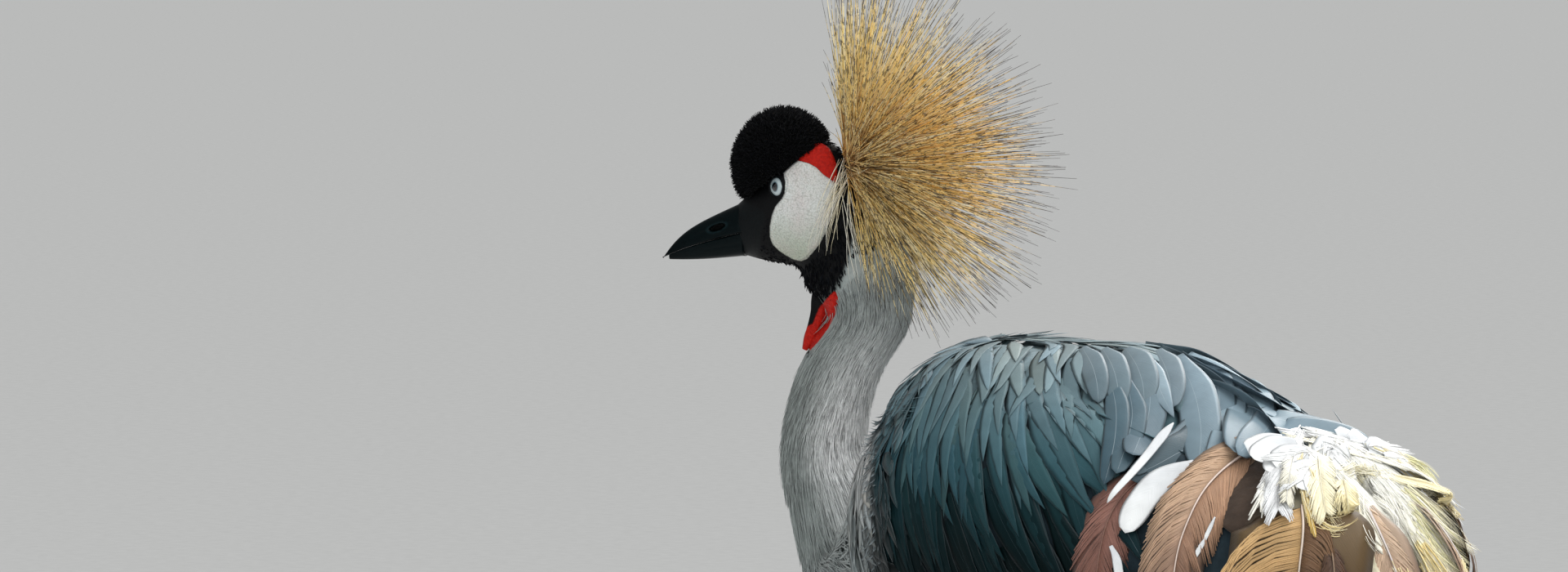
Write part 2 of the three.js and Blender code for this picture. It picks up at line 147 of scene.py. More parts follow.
def body_point(t, q, grow=0.0):
    t, q, grow = np.broadcast_arrays(np.asarray(t, float), np.asarray(q, float), np.asarray(grow, float))
    centre, _, dorsal, left, r = body_frame(t)
    e = 0.93 - 0.06 * smooth(11, 14, t) - 0.2 * smooth(11.2, 12.6, t) * (1 - smooth(13.4, 15, t))
    a = (r[..., 5] + grow) * power(np.cos(q), e)
    b = np.where(np.sin(q) > 0, r[..., 6] + grow, r[..., 7] + grow) * power(np.sin(q), e)
    return centre + left * a[..., None] + dorsal * b[..., None]


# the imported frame's origin, found from an eye's place
_lo, _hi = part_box("eye_left")
_cad_eye = 0.5 * (np.array(_lo) + np.array(_hi)) * 1000
SHIFT = np.array([_cad_eye[0] - H(EYE["ahead"], EYE["up"], EYE["side"])[0], 0.0, 0.0])


def to_world(p):
    return (np.asarray(p, float) + SHIFT) * 0.001


def node_mesh(name):
    """A CAD node's vertices in mm in the bird's frame, and its triangles."""
    me = NODES[name].data
    co = np.zeros(len(me.vertices) * 3)
    me.vertices.foreach_get("co", co)
    me.calc_loop_triangles()
    tri = np.zeros(len(me.loop_triangles) * 3, np.int64)
    me.loop_triangles.foreach_get("vertices", tri)
    return co.reshape(-1, 3) * 1000 - SHIFT, tri.reshape(-1, 3)


# ---------------------------------------------------------------- meshes
def mesh_from(name, verts, quads=None, tris=None, polys=None):
    me = bpy.data.meshes.new(name)
    loops, totals = [], []
    for block in (quads, tris, polys):
        if block is not None and len(block):
            block = np.asarray(block, np.int64)
            loops.append(block.ravel())
            totals.append(np.full(len(block), block.shape[1]))
    loops = np.concatenate(loops).astype(np.int32)
    totals = np.concatenate(totals).astype(np.int32)
    starts = np.concatenate([[0], np.cumsum(totals)[:-1]]).astype(np.int32)
    me.vertices.add(len(verts))
    me.vertices.foreach_set("co", np.asarray(verts, np.float32).ravel())
    me.loops.add(len(loops))
    me.loops.foreach_set("vertex_index", loops)
    me.polygons.add(len(totals))
    me.polygons.foreach_set("loop_start", starts)
    me.polygons.foreach_set("loop_total", totals)
    me.update(calc_edges=True)
    return me


def piece(name, verts, mat, slot, replaces=(), tint=None, vane=None, bake=None, quads=None, tris=None, polys=None, flat=False, mm=True, extra=None, wrap=None):
    """A finished piece of the bird. tint, vane and bake are one value per vertex."""
    me = mesh_from(name, to_world(verts) if mm else verts, quads, tris, polys)
    li = np.zeros(len(me.loops), np.int32)
    me.loops.foreach_get("vertex_index", li)
    for layer, data in (("vane", vane), ("OFBake", bake)):
        if data is not None:
            uv = me.uv_layers.new(name=layer)
            co = np.asarray(data, np.float32)[li]
            if wrap and layer == "OFBake":
                tot = np.zeros(len(me.polygons), np.int32)
                me.polygons.foreach_get("loop_total", tot)
                face = np.repeat(np.arange(len(tot)), tot)
                top = np.zeros(len(tot), np.float32)
                np.maximum.at(top, face, np.where(co[:, 0] < wrap, co[:, 0], 0))
                far = (top[face] - co[:, 0] > wrap / 2) & (co[:, 0] < wrap)
                co[:, 0] = np.where(far, co[:, 0] + wrap, co[:, 0])
            uv.data.foreach_set("uv", co.ravel())
    if bake is not None:
        me.uv_layers.active = me.uv_layers["OFBake"]
    if tint is not None:
        tint = np.asarray(tint, np.float32)
        if tint.shape[1] == 3:
            tint = np.hstack([tint, np.ones((len(tint), 1), np.float32)])
        me.color_attributes.new("tint", "FLOAT_COLOR", "POINT").data.foreach_set("color", tint.ravel())
    for key, data in (extra or {}).items():
        me.attributes.new(key, "FLOAT", "POINT").data.foreach_set("value", np.asarray(data, np.float32))
    me.polygons.foreach_set("use_smooth", np.full(len(me.polygons), not flat))
    me.materials.append(mat)
    ob = bpy.data.objects.new(name, me)
    bpy.context.scene.collection.objects.link(ob)
    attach(ob, "root")
    if replaces:
        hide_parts(*replaces)
    return ob


def grid_faces(rows, cols, close=True):
    i = np.arange(rows - 1)[:, None] * cols
    j = np.arange(cols if close else cols - 1)[None, :]
    k = (j + 1) % cols
    return np.stack([i + j, i + k, i + cols + k, i + cols + j], -1).reshape(-1, 4)


def outward(verts, quads, tris=None):
    """Turns faces so that a closed shell faces out."""
    t = np.vstack([quads[:, [0, 1, 2]], quads[:, [0, 2, 3]]] + ([tris] if tris is not None and len(tris) else []))
    a, b, c = verts[t[:, 0]], verts[t[:, 1]], verts[t[:, 2]]
    if np.einsum("ij,ij->", a - verts.mean(0), np.cross(b - verts.mean(0), c - verts.mean(0))) < 0:
        return quads[:, ::-1], None if tris is None else tris[:, ::-1]
    return quads, tris


def closed_loft(rings):
    """rings (n, m, 3) to vertices, quads and end triangles of a closed shell."""
    n, m, _ = rings.shape
    v = np.vstack([rings.reshape(-1, 3), rings[0].mean(0), rings[-1].mean(0)])
    q = grid_faces(n, m)
    j = np.arange(m)
    k = (j + 1) % m
    t = np.vstack([np.stack([np.full(m, n * m), k, j], 1), np.stack([np.full(m, n * m + 1), (n - 1) * m + j, (n - 1) * m + k], 1)])
    q, t = outward(v, q, t)
    return v, q, t


def join_shells(shells):
    vs, qs, ts, o = [], [], [], 0
    for v, q, t in shells:
        vs.append(v)
        qs.append(q + o)
        if t is not None and len(t):
            ts.append(t + o)
        o += len(v)
    return np.vstack(vs), np.vstack(qs), (np.vstack(ts) if ts else None)


def remeshed(shells, size, name="tmp"):
    """One closed voxel skin round all the shells: vertices in mm and quads."""
    v, q, t = join_shells([(v, q if q is not None else np.zeros((0, 4), int), t) for v, q, t in shells])
    me = mesh_from(name, v * 0.001, q, t)
    ob = bpy.data.objects.new(name, me)
    bpy.context.scene.collection.objects.link(ob)
    mod = ob.modifiers.new("r", "REMESH")
    mod.mode = "VOXEL"
    mod.voxel_size = size * 0.001
    mod.adaptivity = 0.0
    dg = bpy.context.evaluated_depsgraph_get()
    ev = ob.evaluated_get(dg)
    out = ev.to_mesh()
    co = np.zeros(len(out.vertices) * 3)
    out.vertices.foreach_get("co", co)
    li = np.zeros(len(out.loops), np.int64)
    out.loops.foreach_get("vertex_index", li)
    tot = np.zeros(len(out.polygons), np.int64)
    out.polygons.foreach_get("loop_total", tot)
    ev.to_mesh_clear()
    bpy.data.objects.remove(ob)
    bpy.data.meshes.remove(me)
    assert (tot == 4).all()
    return co.reshape(-1, 3) * 1000, li.reshape(-1, 4)


def neighbours(nv, quads):
    e = np.vstack([quads[:, [0, 1]], quads[:, [1, 2]], quads[:, [2, 3]], quads[:, [3, 0]]])
    e = np.unique(np.sort(e, 1), axis=0)
    return np.concatenate([e[:, 0], e[:, 1]]), np.concatenate([e[:, 1], e[:, 0]])


def relax(v, quads, times, hold=None, step=0.5):
    a, b = neighbours(len(v), quads)
    n = np.bincount(a, minlength=len(v))[:, None]
    for _ in range(times):
        m = np.stack([np.bincount(a, v[b, k], len(v)) for k in range(3)], 1) / np.maximum(n, 1)
        d = (m - v) * step
        if hold is not None:
            d = d * (1 - hold[:, None])
        v = v + d
    return v


def vertex_normals(v, faces):
    n = np.zeros_like(v)
    fn = np.cross(v[faces[:, 1]] - v[faces[:, 0]], v[faces[:, 2]] - v[faces[:, 0]])
    if faces.shape[1] == 4:
        fn = np.cross(v[faces[:, 2]] - v[faces[:, 0]], v[faces[:, 3]] - v[faces[:, 1]])
    for k in range(faces.shape[1]):
        for c in range(3):
            n[:, c] += np.bincount(faces[:, k], fn[:, c], len(v))
    return unit(n)


class Surface:
    """A mesh to lay feathers on: nearest points with smooth normals."""

    def __init__(self, v, f):
        self.v, self.f = v, f
        self.n = vertex_normals(v, f)
        self.bvh = BVHTree.FromPolygons(v.tolist(), f.tolist())

    def near(self, p):
        flat = p.reshape(-1, 3)
        loc = np.empty_like(flat)
        idx = np.empty(len(flat), np.int64)
        find = self.bvh.find_nearest
        for i, q in enumerate(flat.tolist()):
            l, _, k, _ = find(q)
            loc[i] = l
            idx[i] = k
        corners = self.v[self.f[idx]]
        w = 1 / (np.linalg.norm(corners - loc[:, None], axis=-1) + 0.25) ** 1.5
        n = unit((self.n[self.f[idx]] * w[..., None]).sum(1))
        return loc.reshape(p.shape), n.reshape(p.shape)


def trace(surface, roots, flow, length, k, wander=None):
    """Lines of k points over the surface from the roots, along flow(p, n). length is one number per root."""
    p = roots.copy()
    step = (np.asarray(length) / (k - 1))[:, None]
    P, N, T = [], [], []
    last = None
    for i in range(k):
        loc, n = surface.near(p)
        f = flow(loc, n)
        if wander is not None:
            side = np.cross(n, f)
            f = f + side * (wander[:, 0] + wander[:, 1] * i / (k - 1))[:, None]
        f = unit(f - n * (f * n).sum(-1, keepdims=True))
        if last is not None:
            f = unit(0.55 * f + 0.45 * last)
        last = f
        P.append(loc)
        N.append(n)
        T.append(f)
        p = loc + f * step
    return np.stack(P, 1), np.stack(N, 1), np.stack(T, 1)


def soften(a, times=1):
    for _ in range(times):
        b = a.copy()
        b[:, 1:-1] = 0.25 * a[:, :-2] + 0.5 * a[:, 1:-1] + 0.25 * a[:, 2:]
        a = b
    return a


def vanes(P, N, half, shape, lift, camber, thick, across=5, roll=None, ruffle=None):
    """Closed feather vanes along centre lines P (n, k, 3) with normals N.
    half: half-width per vane; shape(v): width share; lift (n, k): height; camber: how far the edges fall."""
    n, k, _ = P.shape
    v = np.linspace(0, 1, k)
    T = unit(np.gradient(P, axis=1))
    N = unit(N - T * (N * T).sum(-1, keepdims=True))
    B = np.cross(N, T)
    if roll is not None:
        c, s = np.cos(roll)[..., None, None], np.sin(roll)[..., None, None]
        N, B = N * c + B * s, B * c - N * s
    w = half[:, None] * (shape(v)[None] if callable(shape) else shape)
    if across == 2:
        u = np.array([-1.0, 1.0, 0.0])
        h = np.array([0.0, 0.0, 1.0])
    else:
        top = np.linspace(-1, 1, across)
        bottom = top[1:-1][::-1]
        u = np.concatenate([top, bottom])
        h = np.concatenate([np.ones(across), np.zeros(len(bottom))])
        h[0] = h[across - 1] = 0.5
    m = len(u)
    off = u[None, None] * w[..., None]
    up = -np.asarray(camber).reshape(-1, 1, 1) * (u[None, None] ** 2) * (w / np.maximum(half[:, None], 1e-6))[..., None]
    up = up + h[None, None] * np.asarray(thick).reshape(-1, 1, 1) * np.maximum(shape(v)[None] if callable(shape) else shape, 0.25)[..., None]
    if ruffle is not None:
        up = up + ruffle[:, :, None] * u[None, None]
    verts = P[:, :, None] + B[:, :, None] * off[..., None] + N[:, :, None] * (up + lift[:, :, None])[..., None]
    base = grid_faces(k, m)[:, ::-1]
    caps = np.stack([np.arange(m), (k - 1) * m + np.arange(m)[::-1]])
    o = (np.arange(n) * k * m)[:, None, None]
    quads = (base[None] + o).reshape(-1, 4)
    ends = (caps[None] + o).reshape(-1, m)
    return verts.reshape(-1, 3), quads, ends, u, v


def per_vertex(n, k, m, value):
    """value broadcast to (n, k, m, c) and flattened."""
    value = np.asarray(value, float)
    return np.broadcast_to(value, (n, k, m, value.shape[-1])).reshape(-1, value.shape[-1])


def vane_uv(n, k, u, v, half, length):
    m = len(u)
    x = 0.5 + 0.05 * u[None, None, :] * half[:, None, None] * np.ones((1, k, 1))
    y = 0.1 * v[None, :, None] * length[:, None, None] * np.ones((1, 1, m))
    return np.stack([x, y], -1).reshape(-1, 2)


def bake_uv(root_uv, k, u, v):
    n, m = len(root_uv), len(u)
    x = root_uv[:, 0, None, None] + 0.0015 * u[None, None, :] * np.ones((1, k, 1))
    y = root_uv[:, 1, None, None] + 0.003 * (v[None, :, None] - 0.5) * np.ones((1, 1, m))
    return np.stack([x, y], -1).reshape(-1, 2)


# ---------------------------------------------------------------- materials
def new_material(name, roughness=0.6, spec=0.5, sheen=0.0, coat=0.0, sub=0.0):
    mat = bpy.data.materials.new(name)
    mat.use_nodes = True
    nt = mat.node_tree
    bsdf = nt.nodes["Principled BSDF"]
    bsdf.inputs["Roughness"].default_value = roughness
    bsdf.inputs["Specular IOR Level"].default_value = spec
    bsdf.inputs["Sheen Weight"].default_value = sheen
    bsdf.inputs["Coat Weight"].default_value = coat
    if sub:
        bsdf.inputs["Subsurface Weight"].default_value = sub
        bsdf.inputs["Subsurface Radius"].default_value = (1.0, 0.3, 0.2)
        bsdf.inputs["Subsurface Scale"].default_value = 0.004
    return mat, nt, bsdf


class Nodes:
    """Short helpers to wire a material."""

    def __init__(self, nt):
        self.nt = nt

    def add(self, kind, **kw):
        nd = self.nt.nodes.new(kind)
        for k, v in kw.items():
            setattr(nd, k, v)
        return nd

    def link(self, a, b):
        self.nt.links.new(a, b)

    def put(self, sock, value):
        if hasattr(value, "is_output"):
            self.link(value, sock)
        elif value is not None:
            sock.default_value = value

    def math(self, op, a, b=None, c=None, clamp=False):
        nd = self.add("ShaderNodeMath", operation=op, use_clamp=clamp)
        for s, v in zip(nd.inputs, (a, b, c)):
            self.put(s, v)
        return nd.outputs[0]

    def ramp(self, fac, stops, interp="LINEAR"):
        nd = self.add("ShaderNodeValToRGB")
        nd.color_ramp.interpolation = interp
        el = nd.color_ramp.elements
        while len(el) < len(stops):
            el.new(0.5)
        for e, (pos, col) in zip(el, stops):
            e.position = pos
            e.color = (*col, 1) if len(col) == 3 else col
        self.put(nd.inputs[0], fac)
        return nd.outputs[0]

    def mix(self, fac, a, b, mode="MIX"):
        nd = self.add("ShaderNodeMix", data_type="RGBA", blend_type=mode)
        nd.clamp_factor = True
        self.put(nd.inputs[0], fac)
        self.put(nd.inputs[6], a)
        self.put(nd.inputs[7], b)
        return nd.outputs[2]

    def noise(self, vec=None, scale=5.0, detail=3.0, rough=0.5, dims="3D", w=None):
        nd = self.add("ShaderNodeTexNoise", noise_dimensions=dims)
        if vec is not None:
            self.link(vec, nd.inputs["Vector"])
        if w is not None:
            self.put(nd.inputs["W"], w)
        nd.inputs["Scale"].default_value = scale
        nd.inputs["Detail"].default_value = detail
        nd.inputs["Roughness"].default_value = rough
        return nd.outputs["Fac"]

    def bump(self, height, strength=0.3, distance=0.001, normal=None):
        nd = self.add("ShaderNodeBump")
        nd.inputs["Strength"].default_value = strength
        nd.inputs["Distance"].default_value = distance
        self.link(height, nd.inputs["Height"])
        if normal is not None:
            self.link(normal, nd.inputs["Normal"])
        return nd.outputs[0]

    def object_coords(self, scale=1.0):
        tc = self.add("ShaderNodeTexCoord")
        return tc.outputs["Object"]

    def uv(self, name):
        return self.add("ShaderNodeUVMap", uv_map=name).outputs[0]

    def split(self, vec):
        nd = self.add("ShaderNodeSeparateXYZ")
        self.link(vec, nd.inputs[0])
        return nd.outputs

    def tint(self, name="tint"):
        return self.add("ShaderNodeAttribute", attribute_name=name)


def feather_material(name, rough=0.55, shaft=0.0, shaft_colour=(0.6, 0.6, 0.6), barb=0.25, bump=0.4, spec=0.35, sheen=0.15, rim=0.0, shaft_mix=0.85):
    """Barbs slant from a pale shaft. Vane map: x 0.5 at the shaft, 1 unit = 20 mm; y 1 unit = 10 mm."""
    mat, nt, bsdf = new_material(name, rough, spec, sheen)
    bsdf.inputs["Sheen Roughness"].default_value = 0.45
    n = Nodes(nt)
    x, y, _ = n.split(n.uv("vane"))
    ax = n.math("ABSOLUTE", n.math("SUBTRACT", x, 0.5))
    slant = n.math("SUBTRACT", y, n.math("MULTIPLY", ax, 2.6))
    rnd = n.tint("rnd").outputs["Fac"]
    line = n.noise(scale=1.0, detail=3.0, rough=0.7, dims="1D", w=n.math("ADD", n.math("MULTIPLY", slant, 9.0), n.math("MULTIPLY", rnd, 57.0)))
    base = n.tint("tint").outputs["Color"]
    shade = n.math("MULTIPLY_ADD", line, barb * 2, 1 - barb)
    blotch = n.noise(vec=n.object_coords(), scale=90.0, detail=2.0)
    shade = n.math("MULTIPLY", shade, n.math("MULTIPLY_ADD", blotch, 0.35, 0.83))
    comb = n.add("ShaderNodeCombineColor")
    for s in comb.inputs[:3]:
        n.link(shade, s)
    col = n.mix(1.0, base, comb.outputs[0], "MULTIPLY")
    if shaft:
        on = n.math("SUBTRACT", 1.0, n.math("DIVIDE", ax, 0.02 * shaft), clamp=True)
        fade = n.math("MULTIPLY", on, shaft_mix, clamp=True)
        col = n.mix(fade, col, (*shaft_colour, 1))
    if rim:
        edge = n.tint("edge").outputs["Fac"]
        on = n.math("MULTIPLY_ADD", edge, 7.0, -5.9, clamp=True)
        col = n.mix(n.math("MULTIPLY", on, rim), col, n.mix(0.55, col, (0.42, 0.48, 0.52, 1)))
    n.link(col, bsdf.inputs["Base Color"])
    n.link(n.bump(line, bump, 0.0006), bsdf.inputs["Normal"])
    return mat


def strand_material(name, rough=0.5, spec=0.3, sheen=0.2, vary=0.25):
    mat, nt, bsdf = new_material(name, rough, spec, sheen)
    n = Nodes(nt)
    base = n.tint("tint").outputs["Color"]
    noise = n.noise(vec=n.object_coords(), scale=420.0, detail=2.0)
    shade = n.math("MULTIPLY_ADD", noise, vary * 2, 1 - vary)
    comb = n.add("ShaderNodeCombineColor")
    for s in comb.inputs[:3]:
        n.link(shade, s)
    n.link(n.mix(1.0, base, comb.outputs[0], "MULTIPLY"), bsdf.inputs["Base Color"])
    return mat


# ---------------------------------------------------------------- markings, by place on the bird, and the slate coat's colour by height, with painted light
CHEEK = np.array(
    [(-13, 15.7), (-8.6, 12.2), (-4.6, 8.2), (-5.8, 3), (-5.4, -3.4), (-3.7, -7), (0.3, -11.4), (2.5, -17), (3.7, -23), (3.7, -29), (2, -33.6), (-1.3, -36.8), (-6.2, -40), (-11, -42.4), (-15.3, -43.2), (-18.6, -42), (-22, -38.4), (-26, -33.6), (-29.3, -27.3), (-32.6, -19.3), (-36, -9.8), (-37, 1.4), (-33.4, 4.6), (-28.5, 7.7), (-24.4, 11.7), (-20, 14)],
    float,
)
RED = np.array([(-13, 15.7), (-17, 20.5), (-22.7, 25), (-26, 27.5), (-31, 27.3), (-32.6, 22.8), (-35.5, 17.3), (-37, 12.5), (-37, 1.4), (-33.4, 4.6), (-28.5, 7.7), (-24.4, 11.7), (-20, 14)], float)
WATTLE = np.array([(-36.3, -60.4), (-38.1, -65.9), (-36.3, -73.6), (-31.8, -82.3), (-26.1, -90), (-21.1, -95.4), (-16, -96), (-16, -88), (-19, -76), (-21, -68), (-28, -62)], float)
BLACK_EDGE = np.array([(-75, -12), (-60, -16), (-52, -20), (-47.5, -26), (-44.5, -38), (-40.5, -52), (-36.6, -58.5), (-30.5, -65), (-25.8, -71.5), (-22.5, -80), (-10, -86)], float)


def side_plan(p):
    """The side view of the head: distances ahead and up, sheared by the head's thickness, the same on both sides."""
    u, w, v = head_local(p)
    v = np.abs(v)
    return (u + 0.268 * v) / 1.017, (w - 0.061 * v - 0.85) / 1.017, v


def signed_distance(poly, x, y):
    """Distance to an outline, positive inside."""
    pts = np.stack([x, y], -1).reshape(-1, 2)
    best = np.full(len(pts), 1e9)
    inside = np.zeros(len(pts), bool)
    for a, b in zip(poly, np.roll(poly, -1, 0)):
        d = b - a
        t = np.clip(((pts - a) @ d) / (d @ d), 0, 1)
        best = np.minimum(best, np.linalg.norm(pts - a - t[:, None] * d, axis=1))
        cross = (a[1] > pts[:, 1]) != (b[1] > pts[:, 1])
        xi = a[0] + (pts[:, 1] - a[1]) * d[0] / (d[1] if d[1] else 1e-9)
        inside ^= cross & (pts[:, 0] < xi)
    return np.where(inside, best, -best).reshape(np.shape(x))


C = lambda r, g, b: np.array([r, g, b], float)


def srgb(r, g, b):
    c = np.array([r, g, b], float) / 255
    return np.where(c <= 0.04045, c / 12.92, ((c + 0.055) / 1.055) ** 2.4)


VELVET = C(0.0022, 0.0024, 0.003)
LORE = C(0.0012, 0.0027, 0.0034)
CHEEK_WHITE = srgb(222, 224, 222)
CHEEK_LOW = srgb(196, 201, 188)
RED_SKIN = srgb(190, 22, 12)
SLATE_LOW = srgb(44, 66, 77)
# the slate coat's colour by height, mm: darker towards the bottom and lighter at the top, partly the coat's own darker
# underside and partly painted shade below and painted light above
SLATE = np.array(
    [(300, 0.009, 0.019, 0.022), (440, 0.003, 0.009, 0.010), (480, 0.0012, 0.0060, 0.0070), (505, 0.0016, 0.0090, 0.0102), (530, 0.0085, 0.0320, 0.0375), (552, 0.029, 0.078, 0.094), (576, 0.083, 0.152, 0.176), (598, 0.175, 0.248, 0.274), (612, 0.245, 0.315, 0.342)]
)
PALE = srgb(176, 180, 182)
WHITE = srgb(236, 238, 240)


def head_marks(p):
    """Weights of the head's markings at points on it."""
    u, w, v = side_plan(p)
    ua, wa, va = head_local(p)
    flank = smooth(5, 9, v)
    cheek = signed_distance(CHEEK, u, w)
    red = signed_distance(RED, u, w)
    wattle = np.minimum(signed_distance(WATTLE, u, w), np.interp(u, BLACK_EDGE[:, 0], BLACK_EDGE[:, 1]) - w)
    black = smooth(-5, 4, w - np.interp(u, BLACK_EDGE[:, 0], BLACK_EDGE[:, 1]))
    lore = smooth(5.5, 9.5, u + 0.18 * (w + 20)) * smooth(-43, -38.5, w) * (1 - smooth(-9, -5, w - 0.55 * (u - 22)))
    return {"cheek": np.where(flank > 0.3, cheek, -9), "red": np.where(flank > 0.3, red, -9), "black": black, "lore": lore, "wattle": wattle, "u": u, "w": w}


# ---------------------------------------------------------------- surfaces
def loft(t0, t1, nt, nq, grow=0.0, ease=None):
    t = np.linspace(t0, t1, nt)
    q = 2 * math.pi * (np.arange(nq) + 0.5) / nq
    g = grow(t)[:, None] if callable(grow) else grow
    return body_point(t[:, None], q[None], g), t, q


def ellipsoid(centre, axes, radii, nu=64, nv=40):
    th = np.linspace(0.02, math.pi - 0.02, nv)[:, None]
    ph = 2 * math.pi * np.arange(nu)[None] / nu
    d = np.stack([np.sin(th) * np.cos(ph), np.sin(th) * np.sin(ph), np.cos(th) * np.ones_like(ph)], -1)
    return centre + sum(d[..., i : i + 1] * radii[i] * axes[i] for i in range(3))


def tube(rows, wide, steps, m, grow=0.0, pw=1.0, ridge=None):
    rows = np.asarray(rows, float)
    n = len(rows) - 1
    t = np.linspace(0, n, steps)
    r = spline(rows, t)
    T = unit(spline(rows, np.minimum(n, t + 0.02))[:, :3] - spline(rows, np.maximum(0, t - 0.02))[:, :3])
    A = np.broadcast_to(np.asarray(wide, float), T.shape)
    A = unit(A - T * (A * T).sum(-1, keepdims=True))
    B = np.cross(T, A)
    q = 2 * math.pi * (np.arange(m) + 0.5) / m
    ra, rb = np.maximum(0.3, r[:, 3]) + grow, np.maximum(0.3, r[:, 4]) + grow
    off = A[:, None] * (ra[:, None] * power(np.cos(q), pw))[..., None] + B[:, None] * (rb[:, None] * power(np.sin(q), pw))[..., None]
    if ridge is not None:
        off = off * (1 + ridge(t, q))[..., None]
    return r[:, None, :3] + off, t, q




def strands(P, N, half, taper=None, thick=0.5, lift=None, ruffle=None):
    """Thin three-sided strands along centre lines, for hair, bristles and barbs."""
    n, k, _ = P.shape
    shape = taper or (lambda v: np.maximum(1 - v**2.2, 0.12))
    lift = np.zeros((n, k)) if lift is None else lift
    return vanes(P, N, half, shape, lift, np.zeros(n), half * thick, across=2)


def coat(name, groups, mat, slot, replaces=()):
    """Joins groups of (P, N, half, shape, lift, camber, thick, across, tint, rnd, length[, roll]) into one coat piece."""
    V, Q, E, TI, VU, BU, RN, AL, ED = [], [], {}, [], [], [], [], [], []
    o = 0
    for g in groups:
        P, N = g["P"], g["N"]
        n, k, _ = P.shape
        verts, quads, ends, u, v = vanes(P, N, g["half"], g["shape"], g["lift"], g["camber"], g["thick"], g.get("across", 5), g.get("roll"), g.get("ruffle"))
        m = len(u)
        tint = g["tint"]
        if tint.ndim == 2:
            tint = tint[:, None, None, :]
        elif tint.ndim == 3:
            tint = tint[:, :, None, :]
        V.append(verts)
        Q.append(quads + o)
        E.setdefault(m, []).append(ends + o)
        TI.append(per_vertex(n, k, m, tint))
        VU.append(vane_uv(n, k, u, v, g["half"], g["length"]))
        BU.append(bake_uv(g["root_uv"], k, u, v))
        RN.append(np.repeat(g["rnd"], k * m))
        AL.append(np.broadcast_to(v[None, :, None], (n, k, m)).ravel())
        ED.append(np.broadcast_to(np.abs(u)[None, None], (n, k, m)).ravel())
        o += len(verts)
    verts = np.vstack(V)
    parts = [np.vstack(Q)] + [np.vstack(b) for b in E.values()]
    quads = parts[0]
    tris = next((b for b in parts[1:] if b.shape[1] == 3), None)
    polys = next((b for b in parts[1:] if b.shape[1] != 3), None)
    count = 2 * len(quads) + (0 if tris is None else len(tris)) + (0 if polys is None else len(polys) * (polys.shape[1] - 2))
    COUNTS[name] = count
    return piece(name, verts, mat, slot, replaces, np.vstack(TI), np.vstack(VU), np.vstack(BU), quads, tris, polys, extra={"rnd": np.concatenate(RN), "along": np.concatenate(AL), "edge": np.concatenate(ED)})


COUNTS = {}


def uniform(lo, hi, n):
    return rng.uniform(lo, hi, n)


def lerp(a, b, f):
    f = np.asarray(f, float)[..., None]
    return a * (1 - f) + b * f


# ---------------------------------------------------------------- the skin
def skin_depth(t):
    return -(0.6 + 2.2 * smooth(4.6, 6.6, t) + 3.6 * smooth(9.8, 12, t))


NQ = 200
HEAD_T = np.linspace(0, 5.6, 160)
REST_T = np.concatenate([np.linspace(5.6, 11, 80)[1:], np.linspace(11, 19, 70)[1:]])
SKIN_T = np.concatenate([HEAD_T, REST_T])
SKIN_Q = 2 * math.pi * (np.arange(NQ) + 0.5) / NQ


def smax(a, b, k):
    h = np.maximum(k - np.abs(a - b), 0) / k
    return np.maximum(a, b) + h * h * k * 0.25


def ray_ellipsoid(c, d, centre, radii):
    """How far along d from c an upright ellipsoid in the head's axes ends; 0 where it is missed."""
    axes = np.stack([AHEAD, LEFT, UP])
    o = ((c - centre) @ axes.T) / radii
    e = (d @ axes.T) / radii
    A = (e * e).sum(-1)
    B = (o * e).sum(-1)
    D = B * B - A * ((o * o).sum(-1) - 1)
    return np.where(D > 0, (-B + np.sqrt(np.maximum(D, 0))) / A, 0)


SKULL_AT, SKULL_R = H(-18, 7), np.array([28.0, 17.5, 25.0])
EYE_AT = {s: H(EYE["ahead"], EYE["up"], s * EYE["side"]) for s in (1, -1)}
EYE_AXIS = {s: math.cos(EYE["forward"] * D2R) * s * LEFT + math.sin(EYE["forward"] * D2R) * AHEAD for s in (1, -1)}
LID = (0.60, 0.70)  # half openings of the lids, as angles across and along the eye


def eye_angles(p, s):
    d = p - EYE_AT[s]
    r = np.linalg.norm(d, axis=-1)
    axis = EYE_AXIS[s]
    across = unit(np.cross(UP, axis))
    up = np.cross(axis, across)
    x, y, z = (d @ across) / r, (d @ up) / r, (d @ axis) / r
    a = np.arctan2(np.hypot(x, y), z)
    h = np.maximum(np.hypot(x, y), 1e-9)
    return x / h * a, y / h * a, r


def shape_face(v):
    """Raises the lids round the eyes and sinks a shallow groove above each."""
    for s in (1, -1):
        x, y, r = eye_angles(v, s)
        e = np.hypot(x / LID[0], y / LID[1])
        near = e < 2.6
        d = v - EYE_AT[s]
        lid_r = EYE["radius"] + 0.75 + 0.35 * np.exp(-(((e - 1.12) / 0.12) ** 2))
        w_lid = smooth(2.4, 1.25, e)
        target = np.maximum(r, lid_r) * w_lid + r * (1 - w_lid)
        target = np.where(e < 1.0, EYE["radius"] * (0.80 + 0.2 * smooth(0.86, 1.0, e)), target)
        groove = 0.55 * np.exp(-(((e - 1.62) / 0.16) ** 2)) * smooth(-0.2, 0.5, y)
        target = target - groove
        v = np.where((near & (r < 24))[:, None], EYE_AT[s] + d * (target / r)[:, None], v)
    return v


